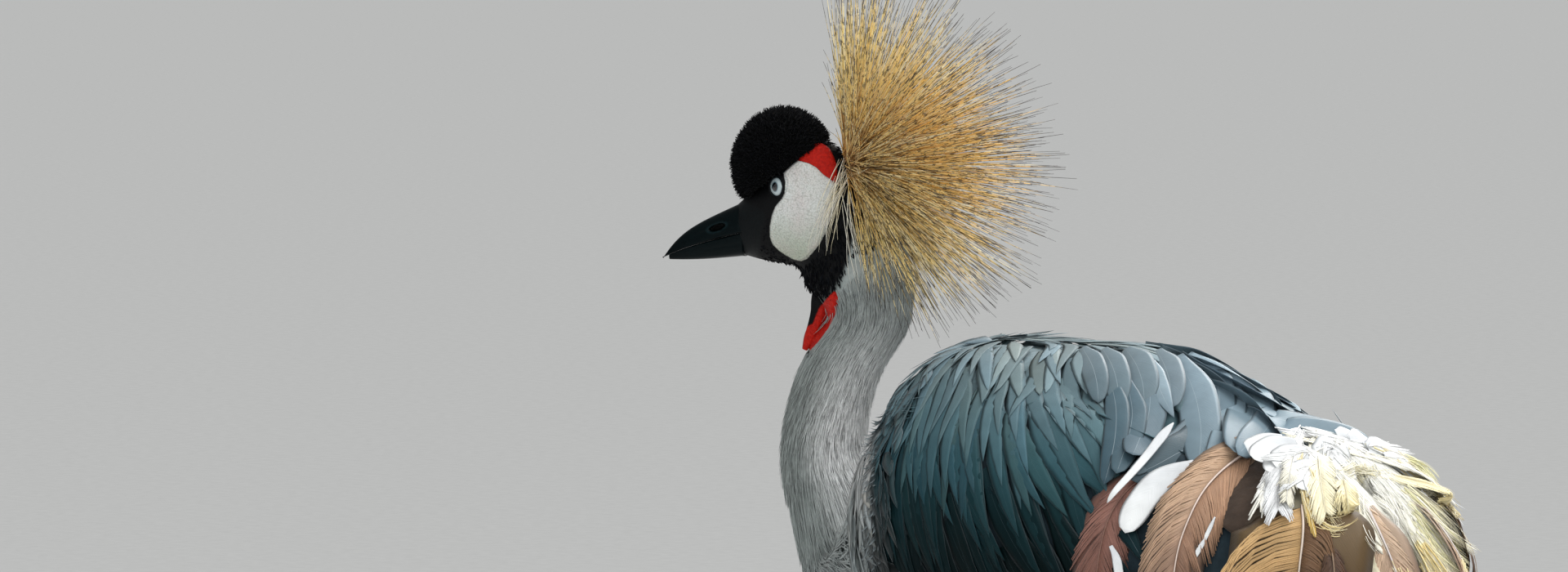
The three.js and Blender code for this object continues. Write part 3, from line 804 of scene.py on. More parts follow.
def build_body_skin():
    t, q = SKIN_T[:, None], SKIN_Q[None]
    base = body_point(t, q, skin_depth(SKIN_T)[:, None])
    centre = spline(BODY, SKIN_T)[:, :3][:, None]
    d = base - centre
    R = np.linalg.norm(d, axis=-1)
    d = d / R[..., None]
    skull = ray_ellipsoid(np.broadcast_to(centre, base.shape), d, SKULL_AT, SKULL_R)
    fade = smooth(0.7, 1.7, SKIN_T) * (1 - smooth(4.8, 5.6, SKIN_T))
    R2 = np.where(skull > 0, smax(R, skull, 4.0), R)
    R = R + (R2 - R) * fade[:, None]
    v = centre + d * R[..., None]
    flat = shape_face(v.reshape(-1, 3))
    m = head_marks(flat)
    n = vertex_normals(flat, grid_faces(len(SKIN_T), NQ))
    n = np.where(((flat - centre.repeat(NQ, 1).reshape(-1, 3)) * n).sum(-1, keepdims=True) < 0, -n, n)
    th = np.repeat(SKIN_T, NQ)
    on = th < 5.2
    pad = smooth(-0.3, 1.6, m["cheek"]) * 1.5 + 0.5 * np.exp(-(((m["cheek"] - 1.6) / 1.1) ** 2))
    pad = pad + 0.9 * smooth(-0.3, 1.2, m["red"]) * (1 - smooth(-0.3, 1, m["cheek"]))
    for (x0, y0), (x1, y1), deep in (((-16.5, 11.4), (-20.3, 2.4), 1.1), ((-18.5, 1.5), (-15.5, -8.5), 1.0), ((-14.2, 9), (-16.6, 3.5), 0.6)):
        dx, dy = x1 - x0, y1 - y0
        f = np.clip(((m["u"] - x0) * dx + (m["w"] - y0) * dy) / (dx * dx + dy * dy), 0, 1)
        away = np.hypot(m["u"] - x0 - f * dx - 0.8 * np.sin(3.1 * f), m["w"] - y0 - f * dy)
        pad = pad - deep * np.exp(-((away / 0.55) ** 2)) * np.sin(math.pi * np.clip(f, 0.06, 0.94)) + 0.25 * np.exp(-(((away - 1.3) / 0.7) ** 2))
    flat = flat + n * (np.where(on, pad, 0) + np.where((th > 3.5) & (th < 8.2), 2.6 * smooth(-0.6, 1.6, m["wattle"]), 0))[:, None]
    ex, ey, er = eye_angles(flat, 1)
    v = flat.reshape(len(SKIN_T), NQ, 3)
    return v


def thigh_rows(s):
    return [[-6, -s * 42, 438, 30, 44], [-2, -s * 45, 405, 27, 38], [10, -s * 46, 368, 18, 24], [24, -s * 45, 332, 11.5, 14], [34, -s * 44, 304, 8, 9]]


def shank_rows(s):
    rows = [[33.5, 309, 6.4, 7], [42, 280, 6.2, 6.8], [50, 250, 7.2, 8], [54, 234, 9.2, 11], [53, 218, 9, 10.5], [48, 196, 6.2, 7], [34, 130, 5.4, 6.4], [18, 60, 5.6, 6.6], [7.5, 20, 7.4, 8.4], [5, 10, 8.2, 9]]
    return [[x, -s * 44, z, a, b] for x, z, a, b in rows]


TOES = {"middle": (-3, 84, 5.2), "inner": (-34, 60, 4.8), "outer": (30, 66, 4.8), "hind": (172, 40, 4.4)}
FOOT_X, LEG_Y = 4.0, 44.0


def toe_line(s, turn, length, thick, q):
    d = yawed(s * turn)
    r = thick * (1 - 0.36 * q) * (1 + 0.1 * np.cos(6 * math.pi * q))
    z = 0.8 * r + 6 * (1 - np.minimum(1, 1.6 * q)) ** 2
    return np.array([FOOT_X, -s * LEG_Y, 0]) + d * (q * length)[:, None] + UP * z[:, None], r, d


def build_leg(s):
    """One leg from the thigh to the toes as a single skin."""
    shells = []
    rings, _, _ = tube(thigh_rows(s), (1, 0, 0), 40, 40, grow=-5)
    shells.append(closed_loft(rings))

    def scutes(t, q):
        ring = 0.035 * np.abs(np.sin(t * 11.5)) ** 0.6
        return ring[:, None] * smooth(-0.2, 0.7, -np.cos(q))[None] + 0.02 * np.sin(t * 22)[:, None] * np.cos(5 * q)[None]

    rings, _, _ = tube(shank_rows(s), (1, 0, 0), 260, 36, ridge=scutes)
    shells.append(closed_loft(rings))
    shells.append(closed_loft(ellipsoid(np.array([FOOT_X, -s * LEG_Y, 6]), np.stack([AHEAD * 0 + [1, 0, 0], [0, 1, 0], [0, 0, 1]]), (12, 11, 8), 32, 20)))
    for turn, length, thick in TOES.values():
        q = np.linspace(0, 1, 46)
        c, r, d = toe_line(s, turn, length, thick, q)
        r = r * (1 + 0.03 * np.sin(q * length * 1.4))
        side = np.cross(UP, d)
        a = 2 * math.pi * np.arange(24) / 24
        ring = c[:, None] + side * (r[:, None] * np.cos(a))[..., None] + UP * (0.92 * r[:, None] * np.sin(a))[..., None]
        shells.append(closed_loft(ring))
    v, quads = remeshed(shells, 1.35)
    v = relax(v, quads, 1)
    v[:, 2] = np.maximum(v[:, 2], 0.0)
    return v, quads


FLAP = np.array([(-33, -56, 5, 6), (-31, -64, 6, 7), (-29.5, -73, 6, 6.5), (-26, -81, 5, 5), (-22, -89, 3.6, 3.6), (-19, -96, 1.6, 1.6)], float)


def build_flap():
    """The red wattle on the throat, with upright creases."""
    rows = np.array([[*H(u + 1.2, w), a, b] for u, w, a, b in FLAP])
    rings, t, q = tube(rows, LEFT, 90, 48, ridge=lambda t, q: 0.07 * np.sin(5 * q + 1.2 * t[:, None]) * smooth(0, 1, t)[:, None])
    return closed_loft(rings)


BODY_SKIN = build_body_skin()


# ---------------------------------------------------------------- the unwrap of the skin's own shape
_arc = np.concatenate([[0], np.cumsum(np.linalg.norm(np.diff(spline(BODY, SKIN_T)[:, :3], axis=0), axis=1))])
_arc = _arc / _arc[-1] * 0.98 + 0.01


def loft_uv(t, q):
    return np.stack([0.7 * (np.asarray(q) % (2 * math.pi)) / (2 * math.pi), np.interp(t, SKIN_T, _arc)], -1)


_kt, _kq = np.linspace(0, 19, 229), 2 * math.pi * (np.arange(72) + 0.5) / 72
_kp = body_point(_kt[:, None], _kq[None]).reshape(-1, 3)
_kd = KDTree(len(_kp))
for _i, _p in enumerate(_kp.tolist()):
    _kd.insert(_p, _i)
_kd.balance()


def loft_coords(p):
    """The nearest place on the body's loft: t along it and q round it."""
    i = np.array([_kd.find(x)[1] for x in p.reshape(-1, 3).tolist()])
    return _kt[i // 72].reshape(p.shape[:-1]), _kq[i % 72].reshape(p.shape[:-1])


def leg_uv(p, s, top):
    x, y, z = p[:, 0] - FOOT_X, p[:, 1] + s * LEG_Y, p[:, 2]
    a = (np.arctan2(y, x - 20) / (2 * math.pi) + 0.5) * 0.06
    base = 0.73 if s > 0 else 0.86
    shaft = np.stack([base + a, 0.3 + z / 450 * 0.35], -1)
    sole = np.stack([base + 0.055 + y / 160 * 0.1, np.where(top, 0.2, 0.07) + x / 170 * 0.1], -1)
    return np.where((z < 13)[:, None], sole, shaft)


# ---------------------------------------------------------------- colours of skin and coat by place
CAPE_EDGE = lambda y: -114.5 + 0.0038 * y * y


def body_marks_and_painted_light(p, t):
    """Colour of the coat and of the skin under it at points on the body, neck and legs, with painted light and shade:
    the slate darker towards the bottom, the neck lighter on its side turned to the rear and right and darker at its top
    under the crest.
    """
    x, y, z = p[..., 0], p[..., 1], p[..., 2]
    col = np.stack([np.interp(z, SLATE[:, 0], SLATE[:, i]) for i in (1, 2, 3)], -1)
    neck = np.maximum(1 - smooth(-4, 4, x - CAPE_EDGE(y)), (t < 10.5) * 1.0)
    # painted light and shade on the neck: its side turned to the rear and right is painted lighter, and lighter still
    # in the notch by the cape's edge; its top under the crest is painted darker as the crest's shadow; on the lower
    # neck the side turned away stays mid-grey
    back = np.clip((p - spline(BODY, t)[..., :3]) @ np.array([0.85, 0.5, 0.2]) / 24, -1, 1)
    painted_neck_light = smooth(-0.55, 0.45, back) * (0.5 - 0.4 * smooth(592, 632, z) + 0.5 * np.exp(-(((z - 550) / 42) ** 2)))
    painted_notch_light = smooth(-44, -8, x - CAPE_EDGE(y)) * np.exp(-(((z - 556) / 46) ** 2)) * (t > 10)
    painted_neck_light = np.maximum(painted_neck_light, painted_notch_light)
    pale = lerp(srgb(156, 164, 162), srgb(252, 253, 253), painted_neck_light)
    pale = lerp(pale, srgb(160, 168, 167), smooth(10.8, 12.4, t) * (1 - smooth(-0.3, 0.3, back)) * (1 - painted_notch_light))
    col = lerp(col, pale, neck)
    u, w, v = side_plan(p)
    edge = -50 - 0.52 * (u + 20)
    throat = smooth(-5, 5, w - np.interp(u, BLACK_EDGE[:, 0], BLACK_EDGE[:, 1])) * (t < 9)
    col = lerp(col, VELVET, throat)
    return col


# ---------------------------------------------------------------- the skin piece
def skin_piece():
    v0 = BODY_SKIN.reshape(-1, 3)
    nt = len(SKIN_T)
    q0 = grid_faces(nt, NQ)
    tail = np.array([BODY_SKIN[-1].mean(0)])
    front = np.array([BODY_SKIN[0].mean(0)])
    j = np.arange(NQ)
    k = (j + 1) % NQ
    o = len(v0)
    t0 = np.vstack([np.stack([(nt - 1) * NQ + j, (nt - 1) * NQ + k, np.full(NQ, o)], 1), np.stack([k, j, np.full(NQ, o + 1)], 1)])
    v0 = np.vstack([v0, tail, front])
    q0, t0 = outward(v0, q0, t0)
    t_all, q_all = np.repeat(SKIN_T, NQ), np.tile(SKIN_Q, nt)
    uv0 = np.vstack([loft_uv(t_all, q_all), [[0.35, 0.995]], [[0.35, 0.003]]])
    tt = np.concatenate([t_all, [19, 0]])
    m = head_marks(v0)
    on = tt < 5.4
    cheek = np.where(on, m["cheek"], -9)
    red = np.where(on, m["red"], -9)
    red = np.where((tt > 3.5) & (tt < 8.2), np.maximum(red, m["wattle"]), red)
    lore = np.where(on, m["lore"], 0)
    tint0 = body_marks_and_painted_light(v0, tt)
    tint0 = lerp(tint0, LORE, lore)
    plume = smooth(146, 154, v0[:, 0]) * smooth(420, 440, v0[:, 2]) * (1 - smooth(62, 72, np.abs(v0[:, 1])))
    tint0 = lerp(tint0, srgb(214, 208, 182), plume)
    blocks = [(v0, q0, t0, uv0, tint0, cheek, red, lore, np.zeros(len(v0)))]

    cap = ellipsoid(H(CAP["ahead"], CAP["up"]), np.stack([AHEAD, LEFT, UP]), (CAP["long"] - 4.4, CAP["wide"] - 4.4, CAP["high"] - 3.4), 72, 48)
    u, w, _ = head_local(cap)
    low = np.minimum(w - (-7 - 0.7265 * (u - 22)), 0)[..., None]
    cap = cap - low * UP * 0.9 - (cap - H(CAP["ahead"], CAP["up"])) * np.clip(-low * 0.02, 0, 0.3)
    cv, cq, ct = closed_loft(cap)
    blocks.append((cv, cq, ct, np.stack([0.76 + cv @ AHEAD % 30 * 0.001, 0.9 + (cv[:, 2] - 690) * 0.0005], -1), np.broadcast_to(VELVET, cv.shape), *[np.full(len(cv), x) for x in (-9.0, -9.0, 0.0, 0.0)]))

    fv, fq, ft = build_flap()
    fu, fw, _ = side_plan(fv)
    above = fw - np.interp(fu, BLACK_EDGE[:, 0], BLACK_EDGE[:, 1])
    blocks.append((fv, fq, ft, np.stack([0.9 + fv @ LEFT % 20 * 0.001, 0.9 + (fv[:, 2] - 620) * 0.0008], -1), lerp(np.broadcast_to(RED_SKIN, fv.shape), VELVET, smooth(-0.8, 0.8, above)), np.full(len(fv), -9.0), np.clip(-2 * above, -9, 4), np.zeros(len(fv)), np.zeros(len(fv))))

    for s in (1, -1):
        lv, lq = build_leg(s)
        n = vertex_normals(lv, lq)
        dark = lerp(np.broadcast_to(srgb(46, 48, 52), lv.shape), srgb(30, 31, 34), smooth(40, 0, lv[:, 2]))
        dark = lerp(dark, srgb(58, 66, 74) * 0.6, smooth(300, 330, lv[:, 2]))
        leg = 1 - smooth(285, 305, lv[:, 2])
        blocks.append((lv, lq, None, leg_uv(lv, s, n[:, 2] > -0.2), dark, np.full(len(lv), -9.0), np.full(len(lv), -9.0), np.zeros(len(lv)), leg))

    V, Q, T = join_shells([b[:3] for b in blocks])
    cat = lambda i: np.concatenate([b[i] for b in blocks])
    ob = piece(
        "skin", V, skin_material(), "black_head",
        replaces=["head", "crown_cap", "neck_upper", "neck_lower", "trunk", "throat_flap", "thigh_left", "thigh_right", "shank_left", "shank_right", "foot_left", "foot_right"],
        tint=cat(4), bake=cat(3), quads=Q, tris=T, extra={"cheek": cat(5), "red": cat(6), "lore": cat(7), "leg": cat(8)}, wrap=0.7,
    )
    COUNTS["skin"] = 2 * len(Q) + len(T)
    return ob


def skin_material():
    mat, nt, bsdf = new_material("skin_mat", 0.6, 0.14, 0.0, 0.0, 0.05)
    n = Nodes(nt)
    obj = n.object_coords()
    base = n.tint("tint").outputs["Color"]
    mott = n.noise(vec=obj, scale=260.0, detail=4.0)
    fine = n.noise(vec=obj, scale=1900.0, detail=2.0)
    grey = n.math("MULTIPLY_ADD", mott, 0.7, 0.65)
    comb = n.add("ShaderNodeCombineColor")
    for s in comb.inputs[:3]:
        n.link(grey, s)
    plain = n.mix(1.0, base, comb.outputs[0], "MULTIPLY")

    def edge(name, soft):
        wob = n.math("MULTIPLY_ADD", n.noise(vec=obj, scale=1300.0, detail=2.0), 1.0, -0.5)
        d = n.math("ADD", n.tint(name).outputs["Fac"], wob)
        return n.math("MULTIPLY_ADD", d, 1.0 / soft, 0.5, clamp=True)

    # the bare cheek: pale, finely pebbled, greener and rougher towards its lower end
    z = n.split(obj)[2]
    low = n.math("MULTIPLY_ADD", z, -38.0, 38.0 * 0.690, clamp=True)
    pebble = n.add("ShaderNodeTexVoronoi", feature="F1")
    n.link(obj, pebble.inputs["Vector"])
    pebble.inputs["Scale"].default_value = 1050.0
    cells = pebble.outputs["Distance"]
    blush = n.noise(vec=obj, scale=75.0, detail=3.0)
    white = n.mix(low, (*srgb(219, 222, 220), 1), (*srgb(188, 196, 178), 1))
    white = n.mix(n.math("MULTIPLY_ADD", blush, 1.6, -0.62, clamp=True), white, (*srgb(214, 200, 200), 1))
    # darker between the pebbles: painted shade in the grooves between them
    white = n.mix(n.math("MULTIPLY", n.math("MULTIPLY_ADD", cells, 1.7, -0.55, clamp=True), 0.5), white, (*srgb(140, 142, 132), 1))
    dotv = n.add("ShaderNodeVectorMath", operation="DISTANCE")
    n.link(obj, dotv.inputs[0])
    dotv.inputs[1].default_value = DOT_AT
    dot = n.math("SUBTRACT", 1.0, n.math("DIVIDE", dotv.outputs["Value"], 0.00065), clamp=True)
    white = n.mix(dot, white, (*srgb(70, 74, 78), 1))
    col = n.mix(edge("cheek", 0.5), plain, white)
    # the red patch and the wattle
    redv = n.mix(n.math("MULTIPLY_ADD", n.noise(vec=obj, scale=520.0, detail=4.0), 1.5, -0.3, clamp=True), (*srgb(150, 14, 10), 1), (*srgb(214, 38, 22), 1))
    on_red = n.math("MULTIPLY", edge("red", 0.5), n.math("SUBTRACT", 1.0, edge("cheek", 0.5)))
    col = n.mix(on_red, col, redv)
    n.link(col, bsdf.inputs["Base Color"])
    # roughness by region
    lore = n.tint("lore").outputs["Fac"]
    leg = n.tint("leg").outputs["Fac"]
    rough = n.math("MULTIPLY_ADD", lore, -0.22, 0.62)
    rough = n.math("MULTIPLY_ADD", on_red, -0.16, rough)
    rough = n.math("MULTIPLY_ADD", leg, -0.12, rough)
    rough = n.math("ADD", rough, n.math("MULTIPLY_ADD", fine, 0.16, -0.08))
    n.link(rough, bsdf.inputs["Roughness"])
    # height: pebbles on the cheek, scales on the legs, fine grain elsewhere
    scale = n.add("ShaderNodeTexVoronoi", feature="DISTANCE_TO_EDGE")
    mp = n.add("ShaderNodeMapping")
    n.link(obj, mp.inputs["Vector"])
    mp.inputs["Scale"].default_value = (1.0, 1.0, 0.7)
    n.link(mp.outputs[0], scale.inputs["Vector"])
    scale.inputs["Scale"].default_value = 330.0
    plate = n.math("MULTIPLY", n.math("MULTIPLY", scale.outputs["Distance"], 6.0, clamp=True), leg)
    hgt = n.math("MULTIPLY", n.math("SUBTRACT", 1.0, cells), n.math("MULTIPLY_ADD", low, 0.5, 0.45))
    hgt = n.math("MULTIPLY", hgt, edge("cheek", 0.5))
    hgt = n.math("ADD", hgt, n.math("MULTIPLY", plate, 1.6))
    hgt = n.math("ADD", hgt, n.math("MULTIPLY", fine, 0.5))
    hgt = n.math("ADD", hgt, n.math("MULTIPLY", n.math("MULTIPLY", n.noise(vec=obj, scale=700.0, detail=3.0), on_red), 1.2))
    n.link(n.bump(hgt, 0.85, 0.0008), bsdf.inputs["Normal"])
    return mat


# ---------------------------------------------------------------- eyes
def eye_piece(s):
    axis = EYE_AXIS[s]
    across = unit(np.cross(UP, axis))
    up = np.cross(axis, across)
    a = np.linspace(0, math.pi, 70)
    b = 2 * math.pi * np.arange(96) / 96
    d = axis * np.cos(a)[:, None, None] + (across * np.cos(b)[:, None] + up * np.sin(b)[:, None])[None] * np.sin(a)[:, None, None]
    r = EYE["radius"] * (1 + 0.035 * np.exp(-((a / 0.5) ** 2)))[:, None, None]
    rings = EYE_AT[s] + d * r
    rings[0] = rings[0].mean(0)
    v, q, t = closed_loft(rings[:-1] * 1.0)
    lx = np.concatenate([(a[:-1, None] * np.cos(b)[None]).ravel(), [0, math.pi]])
    ly = np.concatenate([(a[:-1, None] * np.sin(b)[None]).ravel(), [0, 0]])
    pupil = np.hypot(lx / 0.235, ly / 0.30)
    iris = np.hypot(lx / 0.62, ly / 0.72)
    ang = np.arctan2(ly, lx)
    mat, nt, bsdf = new_material("eye_mat_" + ("left" if s > 0 else "right"), 0.12, 0.6, 0.0, 1.0)
    bsdf.inputs["Coat Roughness"].default_value = 0.02
    n = Nodes(nt)
    pu = n.tint("pupil").outputs["Fac"]
    ir = n.tint("iris").outputs["Fac"]
    an = n.tint("around").outputs["Fac"]
    streak = n.noise(scale=1.0, detail=3.0, rough=0.6, dims="1D", w=n.math("MULTIPLY", an, 14.0))
    body = n.mix(streak, (*srgb(150, 170, 176), 1), (*srgb(206, 217, 218), 1))
    body = n.mix(n.math("MULTIPLY_ADD", ir, 4.0, -3.1, clamp=True), body, (*srgb(70, 88, 96), 1))
    body = n.mix(n.math("MULTIPLY_ADD", pu, -4.0, 5.4, clamp=True), body, (*srgb(96, 120, 130), 1))
    col = n.mix(n.math("MULTIPLY_ADD", pu, -18.0, 18.6, clamp=True), body, (0.002, 0.002, 0.003, 1))
    n.link(col, bsdf.inputs["Base Color"])
    n.link(n.math("MULTIPLY_ADD", streak, 0.06, 0.08), bsdf.inputs["Roughness"])
    side = "left" if s > 0 else "right"
    piece("eyeball_" + side, v, mat, "eye", replaces=["eye_" + side], tint=np.ones((len(v), 3)) * 0.5,
          bake=np.stack([0.78 + (0.1 if s < 0 else 0) + 0.02 * lx / math.pi, 0.8 + 0.02 * ly / math.pi], -1), quads=q, tris=t,
          extra={"pupil": pupil, "iris": iris, "around": ang})


def lid_piece(s):
    """The dark bare rim round the opening of the eye."""
    axis = EYE_AXIS[s]
    across = unit(np.cross(UP, axis))
    up = np.cross(axis, across)
    b = 2 * math.pi * np.arange(120) / 120
    e = 2 * math.pi * np.arange(14) / 14
    point = 1 + 0.05 * np.exp(-(((b - math.pi) / 0.22) ** 2)) + 0.05 * np.exp(-((np.minimum(b, 2 * math.pi - b) / 0.22) ** 2))
    rows = []
    for bb, pt in zip(b, point):
        lx, ly = LID[0] * 1.04 * pt * math.cos(bb), LID[1] * 1.04 * math.sin(bb)
        a = math.hypot(lx, ly)
        d = axis * math.cos(a) + (across * lx + up * ly) / a * math.sin(a)
        tang = unit(across * -math.sin(bb) * LID[0] + up * math.cos(bb) * LID[1])
        out = unit(np.cross(tang, d))
        c = EYE_AT[s] + d * (EYE["radius"] + 0.32)
        rows.append(c + out * (0.62 * np.cos(e))[:, None] + d * (0.52 * np.sin(e))[:, None])
    rows = np.array(rows)
    q = grid_faces(120, 14)
    q = np.vstack([q, np.stack([119 * 14 + np.arange(14), 119 * 14 + (np.arange(14) + 1) % 14, (np.arange(14) + 1) % 14, np.arange(14)], 1)])
    v = rows.reshape(-1, 3)
    c0 = rows[0].mean(0)
    nn = np.cross(v[q[0, 1]] - v[q[0, 0]], v[q[0, 3]] - v[q[0, 0]])
    if nn @ (v[q[0]].mean(0) - c0) < 0:
        q = q[:, ::-1]
    return v, q


def bill_mesh(upper):
    u0 = 18.5
    u1 = BILL_TIP if upper else 65.8
    nu, na = 170, 60
    u = u0 + (u1 - u0) * (1 - (1 - np.linspace(0, 1, nu)) ** 1.25)
    s = np.clip((u - BILL_BASE) / (BILL_TIP - BILL_BASE), 0, 1)
    culmen = -8.6 - 22.5 * s - 11.4 * s**5
    mouth = -26.6 - 12.6 * s - 3 * s**4
    lower = -40.6 - 2.6 * np.sin(0.62 * math.pi * s)
    half = 10.3 * (1 - 0.93 * s) ** 0.85 + 0.5
    if upper:
        edge, far, w = mouth + 0.12, culmen, half
        end = smooth(1.0, 0.975, s)
        edge = edge + (0.35 - 0.35 * end)
    else:
        s2 = np.clip((u - BILL_BASE) / (65.8 - BILL_BASE), 0, 1)
        edge, far, w = mouth - 0.12, lower, half * 0.94
    a = np.linspace(0, math.pi, na)
    sn, cs = np.sin(a), np.cos(a)
    W = edge[:, None] + (far - edge)[:, None] * power(sn, 0.85)[None]
    V = w[:, None] * power(cs, 0.8)[None]
    U = np.broadcast_to(u[:, None], W.shape)
    nos = np.zeros_like(W)
    rim = np.zeros_like(W)
    if upper:
        x = (U - 34.6) * math.cos(0.42) - (W + 23.2) * math.sin(0.42)
        y = (U - 34.6) * math.sin(0.42) + (W + 23.2) * math.cos(0.42)
        e = np.hypot((U - 34.6) / 5.6, (W + 23.3 + 0.28 * (U - 34.6)) / 2.35)
        nos = smooth(1.0, 0.72, e)
        rim = np.exp(-(((e - 1.14) / 0.16) ** 2))
        groove = np.exp(-(((W - (edge + (far - edge) * 0.42)[:, None]) / 1.3) ** 2)) * smooth(24, 30, U) * (1 - smooth(44, 54, U)) * 0.55
        V = V - np.sign(V) * np.minimum(np.abs(V) * 0.8, 2.6 * nos - 0.32 * rim + groove * (1 - nos))
    else:
        groove = np.exp(-(((W - (edge + (far - edge) * 0.45)[:, None]) / 0.8) ** 2)) * (1 - smooth(34, 50, U)) * 0.3
        V = V - np.sign(V) * np.minimum(np.abs(V) * 0.8, groove)
    top = H(U, W, V)
    # the closing face along the mouth
    inner = H(U[:, :1] + 0 * V[:, 1:-1][:, ::3], np.broadcast_to(edge[:, None], V[:, 1:-1][:, ::3].shape) + (0.15 if upper else -0.15), V[:, 1:-1][:, ::3][:, ::-1])
    rings = np.concatenate([top, inner], 1)
    v, q, t = closed_loft(rings)
    pad = np.zeros((nu, inner.shape[1]))
    fl = lambda m: np.concatenate([np.concatenate([m, pad], 1).ravel(), [0, 0]])
    uu = np.concatenate([np.broadcast_to(u[:, None], rings.shape[:2]).ravel(), [u[0], u[-1]]])
    aa = np.concatenate([np.concatenate([np.broadcast_to(a, W.shape), pad], 1).ravel(), [0, 0]])
    return v, q, t, fl(nos), fl(rim), uu, aa


def horn_material(name, base, tip, rough=0.34, spec=0.13):
    mat, nt, bsdf = new_material(name, rough, spec, 0.0, 0.02)
    bsdf.inputs["Coat Roughness"].default_value = 0.3
    n = Nodes(nt)
    obj = n.object_coords()
    streak_map = n.add("ShaderNodeMapping")
    n.link(obj, streak_map.inputs["Vector"])
    streak_map.inputs["Rotation"].default_value = (0, -0.32, -HEAD_YAW * D2R)
    streak_map.inputs["Scale"].default_value = (0.12, 1.0, 1.0)
    streak = n.noise(vec=streak_map.outputs[0], scale=900.0, detail=4.0, rough=0.6)
    cloud = n.noise(vec=obj, scale=130.0, detail=3.0)
    col = n.mix(n.math("MULTIPLY_ADD", streak, 1.4, -0.2, clamp=True), base, tip)
    tint = n.tint("tint").outputs["Color"]
    col = n.mix(1.0, col, tint, "MULTIPLY")
    n.link(col, bsdf.inputs["Base Color"])
    n.link(n.math("MULTIPLY_ADD", cloud, 0.35, rough - 0.16), bsdf.inputs["Roughness"])
    n.link(n.bump(n.math("ADD", streak, n.math("MULTIPLY", cloud, 0.8)), 0.22, 0.0004), bsdf.inputs["Normal"])
    return mat


def claw_mesh(s, turn, length, thick):
    base = thick * 0.56
    q = np.linspace(0, 1, 40)
    end, r_end, d = toe_line(s, turn, length, thick, np.array([1.0]))
    c = end[0] + d * (q * 13 - 1.2)[:, None] + UP * (0.6 * np.sin(math.pi * q))[:, None]
    r = base * (1 - q) ** 0.8 + 0.3
    c[:, 2] = np.maximum(r * 0.95, c[:, 2] - 2.6 * q**1.5)
    side = np.cross(UP, d)
    a = 2 * math.pi * np.arange(20) / 20
    rings = c[:, None] + side * (r[:, None] * np.cos(a) * 0.82)[..., None] + UP * (r[:, None] * np.sin(a) * 0.95)[..., None]
    return closed_loft(rings)


DOT_AT = tuple(float(x) for x in to_world(H(-33.4, 1.2, 20.5)))
skin_piece()
for s in (1, -1):
    eye_piece(s)
lids = [lid_piece(s) for s in (1, -1)]
lv = np.vstack([l[0] for l in lids])
lq = np.vstack([lids[0][1], lids[1][1] + len(lids[0][0])])
lid_mat = horn_material("lid_mat", (0.002, 0.0035, 0.0045, 1), (0.006, 0.009, 0.011, 1), 0.42)
piece("eyelids", lv, lid_mat, "black_head", tint=np.ones_like(lv), bake=np.stack([0.8 + (lv @ AHEAD % 10) * 0.001, 0.75 + (lv[:, 2] % 10) * 0.001], -1), quads=lq)

bill_mat = horn_material("bill_mat", (0.0008, 0.0024, 0.0030, 1), (0.0020, 0.0060, 0.0070, 1), 0.30, 0.07)
for side, upper in (("bill_upper", True), ("bill_lower", False)):
    v, q, t, nos, rim, uu, aa = bill_mesh(upper)
    tint = np.ones((len(v), 3)) * (1 - 0.35 * smooth(50, 66, uu))[:, None]
    # painted shade in the nostril's hollow
    tint = lerp(tint, np.array([0.02, 0.02, 0.02]), nos)
    # painted highlight along the nostril's raised rim
    tint = tint * (1 + 2.0 * rim)[:, None]
    # painted highlight along the ridge of the upper bill
    ridge = np.exp(-(((aa - math.pi / 2) / 0.16) ** 2)) if upper else 0 * aa
    tint = tint * (1 + 1.2 * ridge)[:, None]
    piece("beak_" + ("upper" if upper else "lower"), v, bill_mat, "bill_horn", replaces=[side], tint=tint,
          bake=np.stack([0.74 + (0.1 if upper else 0.0) + 0.0012 * (uu - 18), 0.66 + 0.02 * aa], -1), quads=q, tris=t)

claw_mat = horn_material("claw_mat", (0.010, 0.011, 0.012, 1), (0.026, 0.027, 0.030, 1), 0.35)
for s, side in ((1, "left"), (-1, "right")):
    shells, names = [], []
    for toe, (turn, length, thick) in TOES.items():
        shells.append(claw_mesh(s, turn, length, thick))
        names.append(f"claw_{toe}_{side}")
    v, q, t = join_shells(shells)
    piece("claws_" + side, v, claw_mat, "claw_horn", replaces=names, tint=np.ones_like(v),
          bake=np.stack([0.74 + (0.1 if s < 0 else 0) + (v[:, 0] % 80) * 0.001, 0.6 + (v[:, 2]) * 0.001], -1), quads=q, tris=t)


# ---------------------------------------------------------------- the coat's ground: body, folded wings, plumes and thighs as one smooth surface
WING = [[-106, -80, 492, 18, 5, 2], [-80, -96, 502, 62, 15, 12], [-28, -109, 506, 80, 18, 26], [40, -110, 507, 86, 20, 32], [112, -98, 489, 80, 18, 28], [178, -77, 466, 68, 15, 18], [238, -57, 434, 42, 11, 9], [290, -42, 406, 23, 7, 3], [330, -32, 386, 7, 3, 0]]
PLUMES = [[118, -26, 572, 18, 5, 2], [154, -38, 558, 36, 9, 5], [190, -43, 544, 46, 11, 8], [224, -39, 522, 42, 12, 8], [251, -33, 492, 34, 12, 6], [266, -29, 452, 28, 10, 4], [275, -26, 412, 20, 7, 2], [279, -24, 376, 7, 3, 0]]
TAIL = [[186, 0, 446, 20, 9], [228, 0, 425, 34, 9], [276, 0, 396, 40, 7], [322, 0, 364, 34, 5], [346, 0, 346, 16, 2]]


def mirrored(rows, s):
    rows = np.array(rows, float)
    rows[:, 1] *= s
    return rows


